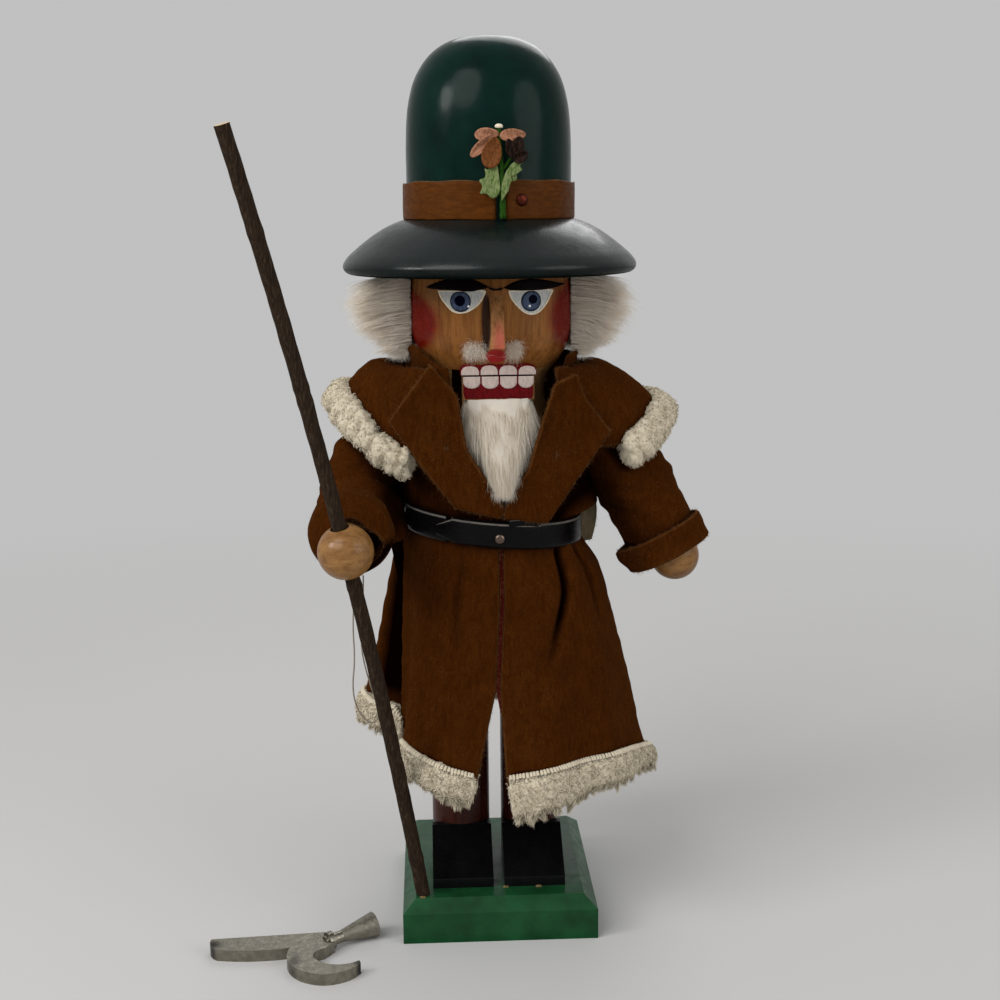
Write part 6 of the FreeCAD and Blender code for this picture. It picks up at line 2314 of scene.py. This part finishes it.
@dataclass
class Sprig:
    """The small sprig of petals and leaves behind the band's gap."""

    face_y: float = -44.4
    stem: tuple[Colour, ...] = ((4.6, -42.9, 346.2), (4.4, -43.2, 358.0), (3.8, -43.0, 372.0), (3.0, -42.6, 386.0))
    pink: tuple[tuple[float, float, float, float, float, float], ...] = (
        (-2.4, 383.2, 5.0, 2.4, 0.0, 0.0), (9.2, 382.8, 5.4, 2.3, 0.0, 0.0), (-4.6, 378.4, 6.6, 1.7, 43.0, 0.4))
    brown: tuple[float, float, float, float, float, float] = (-0.2, 375.2, 6.5, 4.0, 76.0, 1.4)
    dark: tuple[tuple[float, float, float, float, float, float], ...] = (
        (10.8, 377.2, 4.8, 2.7, 72.0, 1.2), (12.6, 373.4, 3.2, 2.1, 30.0, 1.6), (8.0, 377.2, 3.7, 1.6, 100.0, 1.0))
    leaves: tuple[tuple[tuple[float, float], ...], ...] = (
        ((3.2, 359.0), (2.6, 364.6), (1.8, 369.6), (-0.4, 370.0), (-1.8, 367.6), (-3.3, 368.0), (-3.0, 364.4),
         (-5.6, 363.2), (-4.4, 360.6), (-5.4, 357.6), (-2.7, 357.6), (-0.5, 355.6), (1.8, 356.4)),
        ((4.0, 354.0), (4.2, 360.4), (5.6, 365.0), (7.6, 368.6), (10.0, 371.0), (13.6, 371.9), (12.2, 369.2),
         (12.9, 367.3), (10.6, 366.4), (10.4, 363.4), (8.0, 362.4), (6.4, 358.0)),
    )

    def petal(self, x: float, z: float, long: float, wide: float, lean: float, proud: float) -> Array:
        """A cupped oval petal with a rolled edge, as a grid of rings.

        Args:
            x: Its middle.
            z: Height of its middle.
            long: Half its length.
            wide: Half its width.
            lean: Its turn in degrees.
            proud: How far it stands forward.

        Returns:
            A grid from the middle out.
        """
        angle = full_turn(40)
        share = np.linspace(0, 1, 9)[:, None]
        a = long * np.cos(angle) * share
        b = wide * np.sin(angle) * share * (1 - 0.18 * np.cos(angle))
        turn = math.radians(lean)
        flat_x = x + a * math.cos(turn) - b * math.sin(turn)
        flat_z = z + a * math.sin(turn) + b * math.cos(turn)
        cup = 0.9 * share**2 * (0.6 + 0.5 * np.sin(angle * 2 + lean)) + 0.35 * np.abs(b) / wide
        return xyz(flat_x, self.face_y - proud - cup, flat_z)

    def leaf(self, outline: Sequence[tuple[float, float]]) -> Array:
        """A lobed leaf, gently waved, as a grid of rings.

        Args:
            outline: Its outline in x and z.

        Returns:
            A grid from the middle out.
        """
        closed = spline_through(list(outline) + [outline[0]], 73)[:-1]
        centre = closed.mean(axis=0)
        share = np.linspace(0, 1, 9)[:, None, None]
        flat = centre + (closed - centre) * share
        wave = 0.5 * ripple(xyz(flat[..., 0], 0.0, flat[..., 1]), 6.0, 141)
        fold = 0.12 * np.abs(flat[..., 0] - centre[0])
        return xyz(flat[..., 0], self.face_y - 0.5 - wave - fold, flat[..., 1])

    def plate(self, name: str, grids: Sequence[Array], finish: Finish, node: str, slot: str, paints: Paintbox) -> None:
        """Makes thin plates of one finish.

        Args:
            name: Name of the piece.
            grids: Grids of rings from the middle out.
            finish: Its finish.
            node: The CAD node that it replaces.
            slot: Handed on to the build, which does not use it.
            paints: Where materials come from.
        """
        plates = Surface()
        for grid in grids:
            facing = grid_normals(grid, True)[4].mean(axis=0)[1] < 0
            plates.cloth(grid if facing else grid[:, ::-1], 0.9, wrap=True)
        plates.build(name, paints.take(finish), replaces=[node], slot=slot)

    def build(self, paints: Paintbox) -> None:
        """Makes the sprig."""
        stem = Surface()
        line = spline_through(self.stem, 24)
        stem.tube(line, 1.45 - 0.35 * np.linspace(0, 1, 24) + 0.12 * np.sin(np.arange(24) * 1.9), 12)
        stem.tube(spline_through([(5.0, -43.2, 368.0), (8.4, -43.8, 373.0), (10.8, -44.4, 377.0)], 12), 0.8, 8)
        stem.tube(spline_through([(4.4, -43.0, 372.0), (2.0, -43.8, 374.6), (-0.6, -44.6, 377.0)], 12), 0.8, 8)
        stem.build("sprig_stem_wired", paints.take(STEM), replaces=["sprig_stem"], slot="stem_green")
        self.plate("sprig_petals_pink", [self.petal(*p) for p in self.pink], PINK, "sprig_petals", "petal_pink", paints)
        self.plate("sprig_petal_brown", [self.petal(*self.brown)], BROWN_PETAL, "sprig_large_petal", "petal_brown",
                   paints)
        self.plate("sprig_petals_dark", [self.petal(*p) for p in self.dark], DARK_PETAL, "sprig_dark_petals",
                   "petal_dark", paints)
        self.plate("sprig_leaves_cut", [self.leaf(o) for o in self.leaves], LEAF, "sprig_leaves", "leaf_green", paints)
        tip = Surface()
        bud = lathe([(0.0, -0.6), (1.7, -0.3), (1.9, 0.5), (1.3, 1.3), (0.0, 1.6)], 16)
        tip.skin(bud + np.array([3.1, -42.7, 386.4]), wrap=True)
        tip.build("sprig_stem_tip", paints.take(EYE_RIM))


@dataclass
class Limbs:
    """Arms, hands, body and lever: the bare wooden parts."""

    def build(self, paints: Paintbox) -> None:
        """Finishes the wooden parts."""
        for side in ("right", "left"):
            dress(paints, f"{side}_upper_arm", PLAIN_WOOD, 0.4)
            dress(paints, f"{side}_forearm", PLAIN_WOOD, 0.4)
            dress(paints, f"{side}_hand", BALL_WOOD, 0.4)
        dress(paints, "body", PLAIN_WOOD, 0.4)
        dress(paints, "shoulder_pegs", DOWEL_WOOD, 0.2)
        dress(paints, "jaw_pivot_pin", STEEL, 0.3)
        dress(paints, "jaw_lever", LEVER_WOOD, 0.8)


@dataclass
class Staff:
    """The thin bowed twig that the right hand holds."""

    foot: Colour = (-37.7, -43.3, 21.0)
    top: Colour = (-110.0, -115.0, 384.9)
    bow: float = 5.2
    radius: float = 3.4

    def build(self, paints: Paintbox) -> None:
        """Makes the twig with its knots and its cut ends."""
        foot, top = np.array(self.foot), np.array(self.top)
        side = unit(np.cross(top - foot, np.array([0, -1.0, 0])))
        t = np.linspace(0, 1, 260)
        line = foot + (top - foot) * t[:, None] + side * (self.bow * 4 * t * (1 - t))[:, None]
        rng = np.random.default_rng(151)
        radius = np.full(260, self.radius) * (1.0 - 0.03 * t)
        for knot in rng.uniform(0.05, 0.97, 9):
            radius += rng.uniform(0.1, 0.35) * np.exp(-(((t - knot) / 0.006) ** 2))
        tangent = unit(np.gradient(line, axis=0))
        across = unit(np.cross(tangent, np.array([1.0, 0, 0])))
        up = np.cross(across, tangent)
        angle = full_turn(28)
        ring = across[:, None] * np.cos(angle)[None, :, None] + up[:, None] * np.sin(angle)[None, :, None]
        skin = line[:, None] + ring * radius[:, None, None]
        rough = 0.16 * ripple(skin * np.array([1.0, 1.0, 0.18]), 2.4, 152) + 0.08 * ripple(skin, 5.0, 153)
        skin = skin + ring * rough[..., None]
        skin[0, :, 2] = foot[2] + 0.05
        staff = Surface()
        staff.skin(skin, wrap=True, flip=True)
        for row, centre, flip in ((skin[-1], line[-1] + tangent[-1] * 0.25, True), (skin[0], line[0], False)):
            rings = centre + (row - centre) * np.linspace(1, 0, 8)[:, None, None]
            staff.skin(rings, 1, wrap=True, flip=flip)
        staff.build("staff_twig", paints.take(STAFF_BARK, STAFF_CUT), Body.STAFF, ["staff"], "staff_brown")


@dataclass
class Belt:
    """The black belt, its overlapping point, loose strip and rivet."""

    inner: float = 42.8
    thickness: float = 1.6
    width: float = 12.0
    centre: float = 200.4
    tilt: float = 5.2

    def strap(self, start: float, end: float, low: float, high: float, out: float, columns: int, seed: int) -> Array:
        """One length of strap, tilted as the belt hangs.

        Args:
            start: First angle in degrees.
            end: Last angle.
            low: Height of its lower edge.
            high: Height of its upper edge.
            out: How far outside the belt it lies.
            columns: Columns along it.
            seed: Picks the waves.

        Returns:
            A grid facing outward.
        """
        share = np.linspace(0, 1, 14)
        outer = self.inner + self.thickness + out
        profile = [(outer - 0.35 * abs(2 * s - 1) ** 6, low + (high - low) * s) for s in share]
        grid = lathe(profile, columns, start, end)
        grid[..., 2] -= grid[..., 0] * math.tan(math.radians(self.tilt))
        return swell(grid, False, 0.18 * ripple(grid, 12.0, seed))

    def build(self, paints: Paintbox) -> None:
        """Makes the belt."""
        low, high = self.centre - self.width / 2, self.centre + self.width / 2
        around_body = self.strap(-118.0, 242.0 - 4.0, low, high, 0.0, 300, 161)
        lap = self.strap(-128.0, -62.0, low + 0.6, high - 0.2, 1.25, 90, 162)
        t = np.linspace(0, 1, 90)[None, :]
        point = np.clip(1 - t / 0.17, 0, 1)
        share = np.linspace(0, 1, 14)[:, None]
        middle = lap[7:8, :, 2]
        narrow = 1 - 0.85 * point * (share > 0.5) - 0.35 * point * (share <= 0.5)
        lap[..., 2] = middle + (lap[..., 2] - middle) * narrow
        tail = self.strap(-82.0, -64.0, high - 1.2, high + 1.6, 1.5, 40, 163)
        tail[..., 2] += (0.6 * np.sin(np.linspace(0, 3, 40)))[None, :]
        belt = Surface()
        for grid, thick in ((around_body, self.thickness), (lap, 1.2), (tail, 0.7)):
            belt.cloth(grid, thick)
            belt.skin(grid[-2:] + grid_normals(grid)[-2:] * 0.05, 1)
        belt.build("belt_strap", paints.take(BELT, BELT_EDGE), replaces=["belt"], slot="belt_leather")
        rivet = Surface()
        dome = lathe([(0.0, -0.2), (2.3, -0.1), (2.35, 0.4), (1.9, 0.8), (1.0, 1.05), (0.0, 1.1)], 24)
        rivet.skin(turn_out(dome, -88.0, self.inner + self.thickness + 1.3, self.centre - 1.4), wrap=True)
        rivet.build("belt_rivet_dome", paints.take(DARK_RIVET), replaces=["belt_rivet"], slot="belt_rivet")


@dataclass
class HookHead:
    """The loose cast hook that lies beside the base."""

    def build(self, paints: Paintbox) -> None:
        """Finishes the casting."""
        dress(paints, "hook_head", PEWTER, 0.9)


def main() -> None:
    """Builds the figure piece by piece."""
    logging.basicConfig(level=logging.INFO, format="%(message)s")
    Studio().build()
    paints = Paintbox()
    fibres = Surface()
    for part in (SewingThread(), Footing(), Limbs(), Face(), Furs(), Hat(), Sprig(), Skirt(fibres), Bodice(fibres),
                 Sleeves(fibres), Belt(), Staff(), HookHead()):
        log.info("building %s", type(part).__name__)
        part.build(paints)
    fibres.build("felt_fibres", paints.take(FUZZ))


if __name__ == "__main__":
    main()
